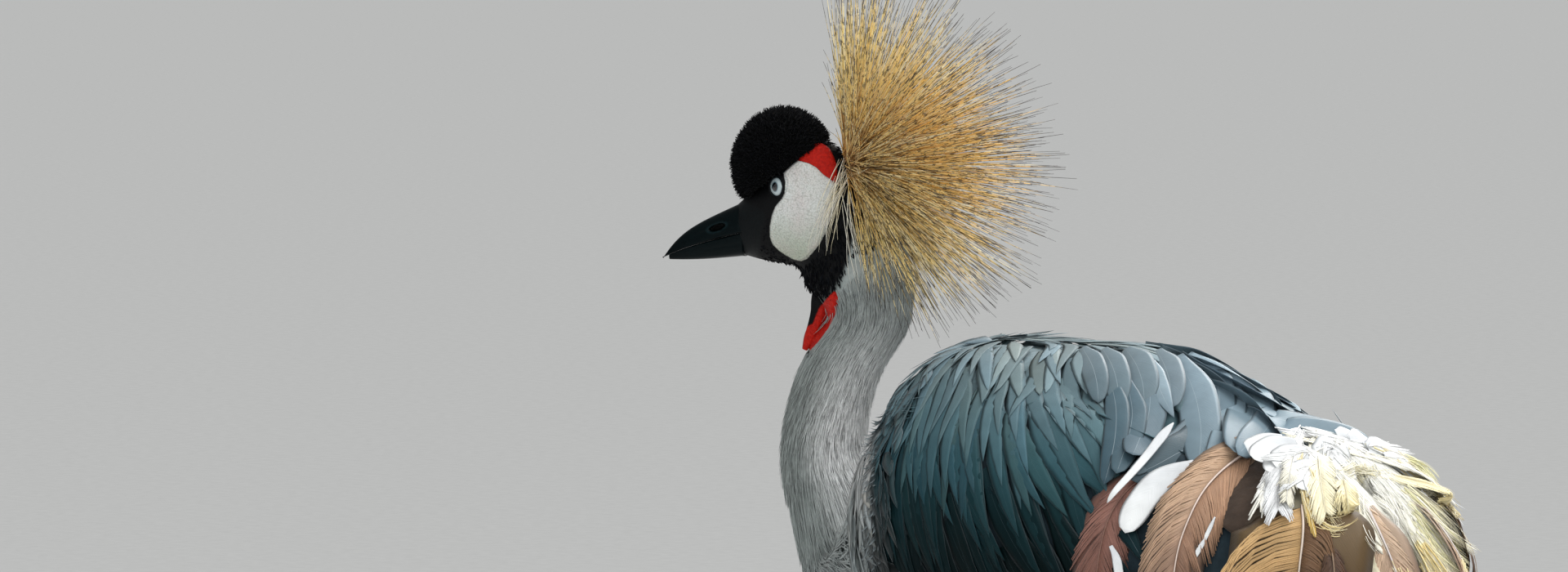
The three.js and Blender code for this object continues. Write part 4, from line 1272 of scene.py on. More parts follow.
def plate(rows, wide, inward, steps, m, grow=0.0):
    """A curved slab: the CAD's folded wing and plume mass, inset by -grow."""
    rows = np.asarray(rows, float)
    t = np.linspace(0, len(rows) - 1, steps)
    r = spline(rows, t)
    T = unit(spline(rows, np.minimum(len(rows) - 1, t + 0.02))[:, :3] - spline(rows, np.maximum(0, t - 0.02))[:, :3])
    A = np.broadcast_to(np.asarray(wide, float), T.shape)
    A = unit(A - T * (A * T).sum(-1, keepdims=True))
    B = np.cross(T, A)
    q = 2 * math.pi * (np.arange(m) + 0.5) / m
    a, b = np.maximum(0.5, r[:, 3] + grow), np.maximum(0.5, r[:, 4] + grow)
    ring = r[:, None, :3] + A[:, None] * (a[:, None] * power(np.cos(q), 0.95))[..., None] + B[:, None] * (b[:, None] * power(np.sin(q), 0.95))[..., None]
    return ring + np.asarray(inward, float) * (r[:, 5][:, None] * np.cos(q)[None] ** 2)[..., None]


def wing_plate(s, grow, steps=60, m=40):
    return plate(mirrored(WING, s), (0, 0, 1), (0, s, 0), steps, m, grow)


def plume_plate(s, grow, steps=50, m=36):
    return plate(mirrored(PLUMES, s), (0, -0.85 * s, -0.5), (-0.6, 0, -0.8), steps, m, grow)


def ground():
    shells = [closed_loft(loft(9.0, 18.9, 100, 72, -3.4)[0])]
    for s in (1, -1):
        shells.append(closed_loft(wing_plate(s, -3.0)))
        shells.append(closed_loft(plume_plate(s, -3.2)))
        shells.append(closed_loft(tube(thigh_rows(s), (1, 0, 0), 40, 36, grow=-3)[0]))
    v, q = remeshed(shells, 3.6)
    return Surface(relax(v, q, 12, step=0.6), q)


GROUND = ground()


# ---------------------------------------------------------------- places as the photo shows them
VIEW_R, VIEW_C, VIEW_EL = np.array([0.719, 0.695, 0.0]), np.array([0.695, -0.719, 0.0]), 3.5 * D2R
VIEW_E = VIEW_C * math.cos(VIEW_EL) + UP * math.sin(VIEW_EL)
VIEW_U = UP * math.cos(VIEW_EL) - VIEW_C * math.sin(VIEW_EL)
VIEW_AT = VIEW_R * -177.6 + UP * 647.8
VIEW_FROM = VIEW_AT + VIEW_E * 4500.0


def sight(x, y):
    """Directions from the viewpoint through places in the 1920 x 700 photo."""
    x, y = np.asarray(x, float), np.asarray(y, float)
    return unit(VIEW_AT + VIEW_R * ((x - 960) * 0.48)[..., None] + VIEW_U * ((350 - y) * 0.48)[..., None] - VIEW_FROM)


def shown(p):
    """Where the photo shows a point."""
    q = p - VIEW_FROM
    f = 4500.0 / -(q @ VIEW_E)
    return np.stack([960 + (q @ VIEW_R - (VIEW_AT - VIEW_FROM) @ VIEW_R) * f / 0.48, 350 - (q @ VIEW_U - (VIEW_AT - VIEW_FROM) @ VIEW_U) * f / 0.48], -1)


def reach_of(x, y):
    """How far from the viewpoint the ground lies at each place; beside it, where the line of sight passes nearest."""
    d = sight(x, y)
    out = np.empty(len(d))
    for i, ray in enumerate(d):
        hit = GROUND.bvh.ray_cast(Vector(VIEW_FROM + ray * 3900.0), Vector(ray))
        if hit[0] is not None:
            out[i] = 3900.0 + hit[3]
        else:
            ts = np.arange(4180.0, 4720.0, 12.0)
            far = [GROUND.bvh.find_nearest(Vector(VIEW_FROM + ray * t))[3] for t in ts]
            out[i] = ts[int(np.argmin(far))]
    return d, out


def seen(path, s=1, lift=3.0, k=16, bend=3, slope=3.0):
    """A line through the places that path shows in the photo, lifted off the ground towards the eye, or its mirror image."""
    path = np.asarray(path, float)
    q = spline(path, np.linspace(0, len(path) - 1, k))
    d, t = reach_of(q[:, 0], q[:, 1])
    a = np.linspace(-1, 1, k)
    fit = np.polyval(np.polyfit(a, t, bend), a)
    fit = fit - min(10.0, max(0.0, float(np.quantile(fit - t, 0.8))))
    step = np.linalg.norm(np.diff(q, axis=0), axis=1) * 0.48 * slope
    for i in range(k - 2, -1, -1):
        fit[i] = np.clip(fit[i], fit[i + 1] - step[i], fit[i + 1] + step[i])
    p = VIEW_FROM + d * (fit - lift)[:, None]
    p[:, 1] *= s
    return p


def settle(line, low, high):
    """Brings a line's points to within a height of the ground: low at its first point, high at its last."""
    out = line.copy()
    for i, p in enumerate(line):
        at, n, _, d = GROUND.bvh.find_nearest(Vector(p))
        want = low + (high - low) * i / (len(line) - 1)
        n = np.array(n)
        off = float(np.dot(p - np.array(at), n))
        out[i] = np.array(at) + n * min(max(off, 1.0), want)
    return soften(out[None], 1)[0]


def facing(right, up, s=1):
    """A direction out of the picture, tilted to its right and upwards, or its mirror image."""
    v = unit(VIEW_E + VIEW_R * right + VIEW_U * up)
    return v * np.array([1.0, s, 1.0])


def scatter(surface, count, radius, mask, seed):
    """Points spread over the surface, no two nearer than radius(p), with their normals."""
    g = np.random.default_rng(seed)
    v, f = surface.v, surface.f
    t = np.vstack([f[:, [0, 1, 2]], f[:, [0, 2, 3]]])
    a, b, c = v[t[:, 0]], v[t[:, 1]], v[t[:, 2]]
    mid = (a + b + c) / 3
    n = unit(np.cross(b - a, c - a))
    ok = mask(mid, n)
    t, a, b, c, n = t[ok], a[ok], b[ok], c[ok], n[ok]
    area_ = np.linalg.norm(np.cross(b - a, c - a), axis=1)
    pick = g.choice(len(t), count, p=area_ / area_.sum())
    r1, r2 = np.sqrt(g.random(count))[:, None], g.random(count)[:, None]
    p = a[pick] * (1 - r1) + b[pick] * (r1 * (1 - r2)) + c[pick] * (r1 * r2)
    rad = radius(p)
    kd = KDTree(count)
    for i, x in enumerate(p.tolist()):
        kd.insert(x, i)
    kd.balance()
    alive = np.ones(count, bool)
    keep = []
    for i in range(count):
        if alive[i]:
            keep.append(i)
            for _, j, _ in kd.find_range(p[i].tolist(), float(rad[i])):
                alive[j] = False
    keep = np.array(keep)
    return p[keep], n[pick][keep]


def body_flow(p, n):
    x, y = p[..., 0], p[..., 1]
    a = np.interp(x, [-150, -120, -60, 20, 80, 140, 200], [0.12, 0.25, 0.36, 0.46, 0.55, 0.68, 0.86])
    a = a + (1 - a) * smooth(30, 6, np.abs(y)) * smooth(0.4, 0.8, n[..., 2])
    a = a + (1 - a) * smooth(-0.1, -0.6, n[..., 2])
    down = unit(-UP + n * n[..., 2:3] + 1e-4 * n)
    back = np.array([1.0, 0, 0]) - n * n[..., :1]
    return unit(unit(back) * a[..., None] + down * np.sqrt(np.maximum(0, 1 - a * a))[..., None])


def lance(v):
    return np.maximum(0.28 + 0.72 * smooth(-0.05, 0.4, v), 0) * np.maximum(1 - v**2.1, 0.0) ** 0.85 * 0.985 + 0.015


def blunt(v):
    return (0.3 + 0.7 * smooth(-0.05, 0.38, v)) * np.sqrt(np.maximum(1 - np.maximum((v - 0.5) / 0.5, 0) ** 2.6, 0.0)) * 0.98 + 0.02


def ground_uv(p):
    t, q = loft_coords(p)
    uv = loft_uv(t, q)
    rear = p[:, 0] > 150
    side = np.where(p[:, 1] < 0, 0.715, 0.86)
    isle = np.stack([side + (p[:, 2] - 360) / 260 * 0.12, 0.4 + (p[:, 0] - 150) / 220 * 0.18 + np.where(np.abs(p[:, 1]) < 40, 0.0, 0.19)], -1)
    return np.where(rear[:, None], isle, uv)


def laid(surface, roots, length, half, k, flow=body_flow, shape=lance, across=5, base=0.4, rise=3.0, camber=1.3, thick=0.35, wander=0.12, tint=None, seed=1, roll=0.12, curl=0.0):
    """Feathers that lie along the flow from their roots."""
    g = np.random.default_rng(seed)
    n = len(roots)
    P, N, T = trace(surface, roots, flow, length, k, np.stack([g.normal(0, wander, n), g.normal(0, wander, n)], 1))
    P, N = soften(P, 1), unit(soften(N, 2))
    v = np.linspace(0, 1, k)
    lift = base + (g.normal(0, 0.25, n)[:, None] + rise) * v[None] ** 1.25 + curl * np.maximum(v[None] - 0.6, 0) ** 2 * g.uniform(0.2, 1.6, n)[:, None]
    return dict(P=P, N=N, half=half, shape=shape, lift=lift, camber=np.full(n, camber) * half / 8.5, thick=np.full(n, thick), across=across, tint=tint, rnd=g.random(n), length=length, root_uv=ground_uv(roots), roll=g.normal(0, roll, n))


def shaded(P, t, seed, vary=0.1, root=0.75, tip=1.06):
    """The coat's colours at each place along the feathers, a little different on each, and darker towards each
    feather's root as painted shade.
    """
    g = np.random.default_rng(seed)
    n, k, _ = P.shape
    col = body_marks_and_painted_light(P.reshape(-1, 3), np.repeat(t, k)).reshape(n, k, 3)
    mean = col[:, k // 2 : k // 2 + 1]
    col = 0.5 * col + 0.5 * mean
    v = np.linspace(0, 1, k)
    col = col * (root + (tip - root) * v)[None, :, None]
    f = np.exp(g.normal(0, vary, n))[:, None, None]
    warm = g.normal(0, 0.03, n)[:, None, None] * np.array([1, 0, -1.0])
    return np.maximum(col * f * (1 + warm), 0)


# ---------------------------------------------------------------- slate feathers of mantle, back, scapulars and flanks
def size_of(p):
    """Length and half-width of the slate feathers by place."""
    x, y, z = p[..., 0], p[..., 1], p[..., 2]
    half = np.interp(x, [-120, -80, -40, 20, 80, 120, 170], [2.6, 4.0, 6.2, 7.6, 9.2, 12.0, 13.0])
    length = np.interp(x, [-120, -60, 0, 60, 100, 150], [60, 74, 90, 98, 112, 104])
    top = smooth(60, 25, np.abs(y)) * smooth(560, 590, z) * (1 - smooth(40, 90, x))
    length = length * (1 - 0.3 * top)
    return np.minimum(length, np.maximum(40, (172 - x) * 1.15)), half * (1 - 0.15 * top)


def slate_mask(m, n):
    x, y, z = m[:, 0], m[:, 1], m[:, 2]
    front = x > CAPE_EDGE(y) + 1
    rear = x < 140 - 0.2 * np.maximum(0, 575 - z) - 12 * smooth(25, 70, np.abs(y))
    return front & rear & (z > 452 + 0 * x)


feather_slate = feather_material("slate_feather", rough=0.5, shaft=0.26, shaft_colour=tuple(srgb(96, 116, 124)), barb=0.13, bump=0.3, spec=0.06, sheen=0.0, rim=0.16, shaft_mix=0.4)
roots, _ = scatter(GROUND, 40000, lambda p: size_of(p)[1] * 1.42 + 1.0, slate_mask, 11)
roots = roots[np.argsort(roots[:, 0])]
length, half = size_of(roots)
g = np.random.default_rng(5)
length, half = length * g.uniform(0.88, 1.12, len(roots)), half * g.uniform(0.88, 1.12, len(roots))
t_r, _ = loft_coords(roots)
small = half < 4.2
sets = {}
for key, sel, across, k in (("mantle", small, 3, 9), ("back", ~small, 5, 9)):
    grp = laid(GROUND, roots[sel], length[sel], half[sel], k, across=across, rise=1.5 if key == "back" else 1.4, camber=0.6, thick=0.26, roll=0.05, seed=31 + across)
    grp["tint"] = shaded(grp["P"], t_r[sel], 7 + across)
    sets[key] = grp
coat("coat_mantle", [sets["mantle"]], feather_slate, "slate_body")
big = sets["back"]
def subset(grp, idx):
    n = len(grp["P"])
    return {k: (v[idx] if isinstance(v, np.ndarray) and len(v) == n else v) for k, v in grp.items()}


feather_scapular = feather_material("scapular_feather", rough=0.45, shaft=0.5, shaft_colour=tuple(srgb(150, 164, 172)), barb=0.1, bump=0.25, spec=0.1, sheen=0.0, rim=0.2, shaft_mix=0.7)
root_x = big["P"][:, 0, 0]
end_at = shown(np.where(big["P"][:, -1, 1:2] > 12, big["P"][:, -1] * np.array([1, -1, 1.0]), big["P"][:, -1]))
under_ends = ((end_at[:, 0] > 1392) & (end_at[:, 1] < 530) & (end_at[:, 1] > 462)) | (big["P"][:, -1, 0] > 146)
order = np.argsort(root_x)
order = order[(root_x[order] < 78) & ~under_ends[order]]
coat("coat_back_fore", [subset(big, order[: len(order) // 2])], feather_slate, "slate_body")
coat("coat_back_rear", [subset(big, order[len(order) // 2 :])], feather_slate, "slate_body")
coat("coat_scapulars", [subset(big, np.where((root_x >= 78) & (root_x < 96) & ~under_ends)[0])], feather_scapular, "slate_body")


# ---------------------------------------------------------------- breast, flanks, belly and thighs
def under_mask(m, n):
    x, y, z = m[:, 0], m[:, 1], m[:, 2]
    return ~slate_mask(m, n) & (z < 470) & (x > -125) & (x < 190) & (np.abs(y) > -1)


def under_flow(p, n):
    leg = smooth(420, 380, p[..., 2]) * (1 - smooth(70, 120, p[..., 0])) * smooth(-60, -30, p[..., 0])
    f = body_flow(p, n)
    down = unit(-UP + n * n[..., 2:3] + np.array([0.25, 0, 0]))
    return unit(f * (1 - leg)[..., None] + down * leg[..., None])


feather_grey = feather_material("belly_feather", rough=0.65, shaft=0.0, barb=0.25, bump=0.4, spec=0.25, sheen=0.2)
roots, _ = scatter(GROUND, 12000, lambda p: np.interp(p[..., 2], [300, 400, 460], [4.6, 7.6, 8.6]), under_mask, 12)
g = np.random.default_rng(6)
length = np.interp(roots[:, 2], [300, 400, 460], [24, 42, 54]) * g.uniform(0.85, 1.15, len(roots))
length = np.minimum(length, np.maximum(14, (roots[:, 2] - 288) * 1.6))
half = np.interp(roots[:, 2], [300, 400, 460], [3.6, 6.0, 7.0]) * g.uniform(0.85, 1.15, len(roots))
t_r, _ = loft_coords(roots)
grp = laid(GROUND, roots, length, half, 7, flow=under_flow, across=3, rise=2.6, camber=1.1, seed=41)
grp["tint"] = shaded(grp["P"], t_r, 9, 0.12)
coat("coat_under", [grp], feather_grey, "slate_body")


# ---------------------------------------------------------------- neck: fine pale strands
def loft_lines(t0, q0, length, k, drift, grow=0.0, lift0=0.0):
    """Centre lines along the loft from (t0, q0), as long as length."""
    e = 0.02
    speed = np.linalg.norm(body_point(t0 + e, q0) - body_point(t0 - e, q0), axis=-1) / (2 * e)
    v = np.linspace(0, 1, k)
    t = t0[:, None] + (length / np.maximum(speed, 6))[:, None] * v[None]
    q = q0[:, None] + drift[:, None] * v[None]
    t = np.clip(t, 0, 19)
    P = body_point(t, q, grow)
    A = body_point(t, q + 0.02, grow) - body_point(t, q - 0.02, grow)
    B = body_point(np.clip(t + 0.02, 0, 19), q, grow) - body_point(np.clip(t - 0.02, 0, 19), q, grow)
    N = unit(np.cross(A, B))
    c = spline(BODY, t)[..., :3]
    N = np.where(((P - c) * N).sum(-1, keepdims=True) < 0, -N, N)
    return P, N, t, q


def loft_area_pick(lo, hi, count, seed, weight=None):
    g = np.random.default_rng(seed)
    t = g.uniform(lo, hi, count * 3)
    q = g.uniform(0, 2 * math.pi, count * 3)
    e = 0.02
    dt = body_point(t + e, q) - body_point(t - e, q)
    dq = body_point(t, q + e) - body_point(t, q - e)
    w = np.linalg.norm(np.cross(dt, dq), axis=-1)
    if weight is not None:
        w = w * weight(body_point(t, q), t, q)
    w = w / w.sum()
    i = g.choice(len(t), count, p=w, replace=False)
    return t[i], q[i]


def neck_weight(p, t, q):
    bare = body_marks_and_painted_light(p, np.minimum(t, 12.0))[:, 1] < 0.03
    wattle = head_marks(p)["wattle"] > -0.8
    return ((p[:, 0] < CAPE_EDGE(p[:, 1]) + 2) | (t < 10)) * np.where(bare & (t < 7), 0.12, 1.0) * ~(wattle & (t < 8.2))


hair_mat = strand_material("neck_hair", 0.55, 0.3, 0.25, 0.22)
for name, lo, hi, count, seed in (("coat_neck_upper", 4.5, 9.2, 6700, 51), ("coat_neck_lower", 9.2, 12.9, 7200, 52)):
    t0, q0 = loft_area_pick(lo, hi, count, seed, neck_weight)
    g = np.random.default_rng(seed + 7)
    length = g.uniform(20, 32, count) * np.interp(t0, [5.7, 8, 11.5], [0.75, 0.9, 1.15])
    P, N, t, q = loft_lines(t0, q0, length, 5, g.normal(0, 0.05, count), -1.8 - 1.2 * float(lo > 9))
    v = np.linspace(0, 1, 5)
    lift = 0.3 + (1.6 + g.exponential(0.35, count))[:, None] * v[None] ** 1.2
    P = P + N * (0.2 * np.sin(7 * v[None] + g.uniform(0, 6, count)[:, None]))[..., None] * v[None, :, None]
    half = g.uniform(0.38, 0.66, count) * np.interp(t0, [5.7, 9, 12], [0.8, 1.0, 1.35])
    col = body_marks_and_painted_light(P.reshape(-1, 3), t.reshape(-1)).reshape(P.shape)
    darkish = np.where(g.random(count) < 0.17, g.uniform(0.42, 0.7, count), g.uniform(0.95, 1.15, count))
    col = np.minimum(col * darkish[:, None, None] * (0.8 + 0.25 * v)[None, :, None], 0.95)
    coat(name, [dict(P=P, N=N, half=half, shape=lambda v: np.maximum(1 - v**2.4, 0.1), lift=lift, camber=np.zeros(count), thick=half * 0.8, across=2, tint=col, rnd=g.random(count), length=length, root_uv=loft_uv(t0, q0), roll=g.normal(0, 0.5, count))], hair_mat, "pale_neck")


# ---------------------------------------------------------------- crown plush and the short black feathers of the face
def spikes(p, d, n, length, half, seed, droop=0.0, k=3):
    """Short upright or leaning tufts at p along d."""
    g = np.random.default_rng(seed)
    v = np.linspace(0, 1, k)
    P = p[:, None] + d[:, None] * (length[:, None] * v[None])[..., None] - UP * (droop * length[:, None] * v[None] ** 2)[..., None]
    side = unit(np.cross(d, g.normal(0, 1, d.shape)))
    N = np.repeat(side[:, None], k, 1)
    P = P + N * (0.12 * length[:, None] * np.sin(3.0 * v)[None] * g.normal(0, 1, len(p))[:, None])[..., None]
    return dict(P=P, N=N, half=half, shape=lambda v: np.maximum(1 - v**1.6, 0.12), lift=np.zeros((len(p), k)), camber=np.zeros(len(p)), thick=half * 1.1, across=2, rnd=g.random(len(p)), length=length)


plush_mat = strand_material("plush", 0.8, 0.06, 0.03, 0.3)
g = np.random.default_rng(77)
n_try = 19500
d = unit(g.normal(0, 1, (n_try, 3)))
radii = np.array([CAP["long"], CAP["wide"], CAP["high"] + 1.5]) - 4.0
axes = np.stack([AHEAD, LEFT, UP])
w = 1 / np.linalg.norm(d / radii, axis=1) ** 2
local = d / np.linalg.norm(d / radii, axis=1, keepdims=True)
area_w = np.linalg.norm(local / radii**2, axis=1) * np.prod(radii) * np.linalg.norm(local, axis=1) ** 0
keep = g.random(n_try) < (area_w / area_w.max())
local = local[keep]
p = H(CAP["ahead"], CAP["up"]) + local @ axes
nrm = unit((local / radii**2) @ axes)
u, w, v_ = head_local(p)
border = w - (-9 - 0.7265 * (u - 22)) + g.normal(0, 0.8, len(p))
rear_fill = (u < -12) & (w > 12) & (signed_distance(RED, *side_plan(p)[:2]) < -0.6) & (signed_distance(CHEEK, *side_plan(p)[:2]) < -0.6)
ok = (border > -1.0) | rear_fill
p, nrm, border = p[ok], nrm[ok], border[ok]
lean = unit(nrm + 0.22 * g.normal(0, 1, nrm.shape) - 0.18 * AHEAD * np.clip(nrm @ UP, 0, 1)[:, None])
length = g.uniform(4.2, 6.4, len(p)) * np.clip(0.55 + border / 9, 0.4, 1)
grp = spikes(p - nrm * 0.8, lean, nrm, length, g.uniform(0.55, 0.9, len(p)), 78)
grp["tint"] = np.clip(VELVET * np.exp(g.normal(0, 0.5, (len(p), 1))) * 0.9, 0, 1)[:, None] * np.array([0.7, 0.9, 1.3])[None, :, None]
ang = np.arctan2(local[ok][:, 1], local[ok][:, 0]) / (2 * math.pi)
grp["root_uv"] = np.stack([0.85 + 0.11 * ang, 0.86 + local[ok][:, 2] / 60 * 0.1], -1)
coat("coat_crown", [grp], plush_mat, "crown_plush")

SKIN_SURF = Surface(BODY_SKIN.reshape(-1, 3), grid_faces(len(SKIN_T), NQ))
t0, q0 = loft_area_pick(0.9, 7.0, 9000, 61)
ti = np.clip(np.searchsorted(SKIN_T, t0), 0, len(SKIN_T) - 1)
qi = (np.round(q0 / (2 * math.pi) * NQ - 0.5).astype(int)) % NQ
p = BODY_SKIN[ti, qi]
nrm = SKIN_SURF.n[ti * NQ + qi]
cen = spline(BODY, SKIN_T[ti])[:, :3]
nrm = np.where(((p - cen) * nrm).sum(-1, keepdims=True) < 0, -nrm, nrm)
m = head_marks(p)
u, w, v_ = head_local(p)
eye_e = np.min([np.hypot(*[a / b for a, b in zip(eye_angles(p, s)[:2], LID)]) + 9 * (eye_angles(p, s)[2] > 20) for s in (1, -1)], axis=0)
ok = (m["cheek"] < -1.4) & (m["red"] < -1.0) & (m["wattle"] < -0.8) & (m["lore"] < 0.4) & (eye_e > 1.95)
ok &= ~((t0 > 4.4) & (body_marks_and_painted_light(p, t0)[:, 1] > 0.1))
p, nrm, t0, q0, m_c = p[ok], nrm[ok], t0[ok], q0[ok], m["cheek"][ok]
dirs = unit(body_point(np.clip(t0 + 0.05, 0, 19), q0) - body_point(t0, q0))
lean = unit(dirs + nrm * g.uniform(0.25, 0.6, len(p))[:, None] + 0.2 * g.normal(0, 1, nrm.shape))
length = g.uniform(2.6, 4.2, len(p)) * np.interp(t0, [0.9, 2.5, 5, 7], [0.55, 0.8, 1.2, 1.9]) * np.clip(0.5 + (-m_c - 1.4) / 4, 0.45, 1)
grp = spikes(p - nrm * 0.5, lean, nrm, length, g.uniform(0.5, 0.8, len(p)) * np.interp(t0, [1, 6], [0.8, 1.15]), 79, droop=0.1)
grp["tint"] = (np.clip(VELVET * np.exp(g.normal(0, 0.45, (len(p), 1))), 0, 1) * np.array([0.8, 0.95, 1.2]))[:, None]
grp["root_uv"] = loft_uv(t0, q0)
coat("coat_face", [grp], plush_mat, "black_head")


# ---------------------------------------------------------------- the crest of bristles
def round_fan(aside, up, down, cb):
    return aside + (np.where(cb > 0, up, down) - aside) * cb * cb


CREST_ROOT = H(CREST["ahead"], CREST["up"])
CREST_KNOT = -AHEAD * 9.5 + UP * 6.0
CT = CREST["tilt"] * D2R
CREST_AXIS = -AHEAD * math.cos(CT) + UP * math.sin(CT)
CREST_OVER = AHEAD * math.sin(CT) + UP * math.cos(CT)


def bristle_material():
    mat, nt, bsdf = new_material("bristle", 0.42, 0.4, 0.1)
    n = Nodes(nt)
    base = n.tint("tint").outputs["Color"]
    along = n.tint("along").outputs["Fac"]
    rnd = n.tint("rnd").outputs["Fac"]
    _, y, _ = n.split(n.uv("vane"))
    w = n.math("ADD", n.math("MULTIPLY", y, 1.5), n.math("MULTIPLY", rnd, 173.0))
    dash = n.noise(scale=1.0, detail=2.0, rough=0.6, dims="1D", w=w)
    bar = n.math("MULTIPLY_ADD", n.math("SUBTRACT", dash, n.math("MULTIPLY_ADD", along, -0.25, 0.75)), 18.0, 0.5, clamp=True)
    tip = n.math("MULTIPLY_ADD", n.math("ADD", along, n.math("MULTIPLY", rnd, 0.08)), 16.0, -14.4, clamp=True)
    dark = n.math("MAXIMUM", n.math("MULTIPLY", bar, 0.85), tip)
    fine = n.noise(vec=n.object_coords(), scale=700.0, detail=2.0)
    light = n.mix(n.math("MULTIPLY_ADD", fine, 1.2, -0.3, clamp=True), base, (*srgb(240, 222, 176), 1))
    n.link(n.mix(dark, light, (*srgb(42, 27, 16), 1)), bsdf.inputs["Base Color"])
    n.link(n.bump(dash, 0.3, 0.0004), bsdf.inputs["Normal"])
    return mat


bristle_mat = bristle_material()


def crest_piece(name, count, k, seed, short, replaces=()):
    g = np.random.default_rng(seed)
    beta = g.uniform(-math.pi, math.pi, count)
    cb, sb = np.cos(beta), np.sin(beta)
    edge = round_fan(CREST_EDGE[1], CREST_EDGE[0], CREST_EDGE[2], cb) * D2R
    alpha = np.arccos(1 - g.random(count) * (1 - np.cos(edge)))
    alpha = alpha * g.uniform(0.94, 1.0, count)
    steep = (alpha > 80 * D2R) & (g.random(count) < 0.72)
    alpha = np.where(steep, alpha * 0.8, alpha)
    ad = alpha / D2R
    tab = [np.interp(ad, CREST_REACH[:, 0], CREST_REACH[:, i]) for i in (1, 2, 3)]
    reach = round_fan(tab[1], tab[0], tab[2], cb)
    d = CREST_AXIS * np.cos(alpha)[:, None] + (CREST_OVER * cb[:, None] + LEFT * sb[:, None]) * np.sin(alpha)[:, None]
    root = CREST_ROOT + CREST_OVER * (11 * np.sin(alpha) * cb + g.normal(0, 2.5, count))[:, None] + LEFT * (9 * np.sin(alpha) * sb + g.normal(0, 2, count))[:, None] + CREST_AXIS * g.uniform(-6, 3, count)[:, None]
    length = reach * np.clip(g.normal(*short, count), 0.35, 1.01)
    d = unit(d + g.normal(0, 0.06, d.shape))
    # the tuft's knot sits further back and higher than the middle of the fan, and few bristles lean forward of upright
    tip = root + d * length[:, None]
    root = root + CREST_KNOT
    ahead_of = -((tip - root) @ VIEW_R)
    rise = (tip - root) @ UP
    free = g.random(count) < 0.05
    allowed = np.where(rise > 0, 0.15 * rise * g.random(count) ** 0.6, 0.24 * np.abs(rise)) + 2
    over = np.where(free, 0, np.maximum(ahead_of - allowed, 0))
    tip = tip + VIEW_R * (over * g.uniform(0.9, 1.3, count))[:, None]
    length = np.linalg.norm(tip - root, axis=1)
    d = unit(tip - root)
    v = np.linspace(0, 1, k)
    side = unit(np.cross(d, g.normal(0, 1, d.shape)))
    other = np.cross(d, side)
    ph = g.uniform(0, 6.28, count)[:, None]
    fr = (length / g.uniform(9, 15, count))[:, None]
    amp = g.uniform(0.15, 0.5, count)[:, None]
    bend = g.normal(0, 0.05, count)[:, None] * length[:, None]
    P = root[:, None] + d[:, None] * (length[:, None] * v[None])[..., None]
    P = P + side[:, None] * (amp * np.sin(ph + fr * v[None]) + bend * v[None] ** 2)[..., None] + other[:, None] * (amp * np.cos(ph + fr * v[None]))[..., None]
    P = P - UP * (0.035 * length[:, None] * v[None] ** 2)[..., None]
    N = np.repeat(side[:, None], k, 1)
    half = g.uniform(0.29, 0.47, count)
    golden, straw, amber, pale = srgb(240, 178, 54), srgb(252, 224, 138), srgb(184, 112, 18), srgb(255, 245, 206)
    centre = np.exp(-((alpha / 0.75) ** 2))
    f = np.clip(centre * 1.0 + g.normal(0, 0.2, count), 0, 1)
    out = lerp(np.broadcast_to(straw, (count, 3)), golden, f)
    out = lerp(out, pale, (g.random(count) < 0.22) * 0.85)
    inner = lerp(np.broadcast_to(golden, (count, 3)), amber, np.clip(centre + g.normal(0, 0.25, count), 0, 1))
    col = lerp(inner[:, None], out[:, None], np.broadcast_to(smooth(0.12, 0.55, v), (count, k)))
    col = col * np.exp(g.normal(0, 0.14, count))[:, None, None]
    uvr = np.stack([0.84 + 0.14 * (beta / (2 * math.pi) + 0.5), 0.22 + 0.12 * alpha / 1.6 + (0.0 if seed % 2 else 0.13)], -1)
    grp = dict(P=P, N=N, half=half, shape=lambda v: np.maximum(1 - 0.75 * v**1.6, 0.1), lift=np.zeros((count, k)), camber=np.zeros(count), thick=half * 1.5, across=2, tint=col, rnd=g.random(count), length=length, root_uv=uvr)
    coat(name, [grp], bristle_mat, "crest_bristle", replaces)


crest_piece("crest_long", 1200, 13, 91, (0.90, 0.075), ("crest",))
crest_piece("crest_inner", 1500, 9, 92, (0.62, 0.15))


# ---------------------------------------------------------------- small curled feathers along the cape's edge and the front of the back
def edge_mask(m, n):
    x, y, z = m[:, 0], m[:, 1], m[:, 2]
    return (np.abs(x - CAPE_EDGE(y) - 1) < 4.0) & (z > 425)


ruffle_mat = feather_material("ruffle_feather", rough=0.55, shaft=0.0, barb=0.2, bump=0.4, spec=0.3, sheen=0.1, rim=0.8)
groups = []
for mask, radius, size, seed, rise, curl, dark in (
    (edge_mask, 2.6, (6, 10, 1.3, 2.1), 71, 2.4, 18.0, 1.0),
    (lambda m, n: (m[:, 0] > CAPE_EDGE(m[:, 1]) + 4) & (m[:, 0] < -58) & (m[:, 2] > 468), 7.6, (20, 32, 3.2, 4.8), 72, 2.2, 6.0, 0.9),
    (lambda m, n: (np.abs(m[:, 1]) > 74) & (m[:, 0] > -106) & (m[:, 0] < -50) & (m[:, 2] > 448) & (m[:, 2] < 548), 5.6, (24, 38, 3.6, 5.4), 73, 1.8, 4.0, 0.9),
):
    roots, _ = scatter(GROUND, 6000, lambda p: radius + 0 * p[..., 0], mask, seed)
    g = np.random.default_rng(seed)
    length = g.uniform(size[0], size[1], len(roots))
    half = g.uniform(size[2], size[3], len(roots))
    t_r, _ = loft_coords(roots)
    grp = laid(GROUND, roots, length, half, 7, across=3, base=1.6, rise=rise, camber=0.9, thick=0.3, curl=curl, wander=0.3, roll=0.4, seed=seed + 10)
    grp["tint"] = shaded(grp["P"], np.maximum(t_r, 12.5), seed, 0.16) * dark
    if seed == 71:
        grp["tint"] = lerp(grp["tint"] * 0.35, np.broadcast_to(srgb(150, 162, 166), grp["tint"].shape), np.broadcast_to(smooth(0.35, 1.0, np.linspace(0, 1, 7))[None] * 0.85, grp["tint"].shape[:2]))
    groups.append(grp)
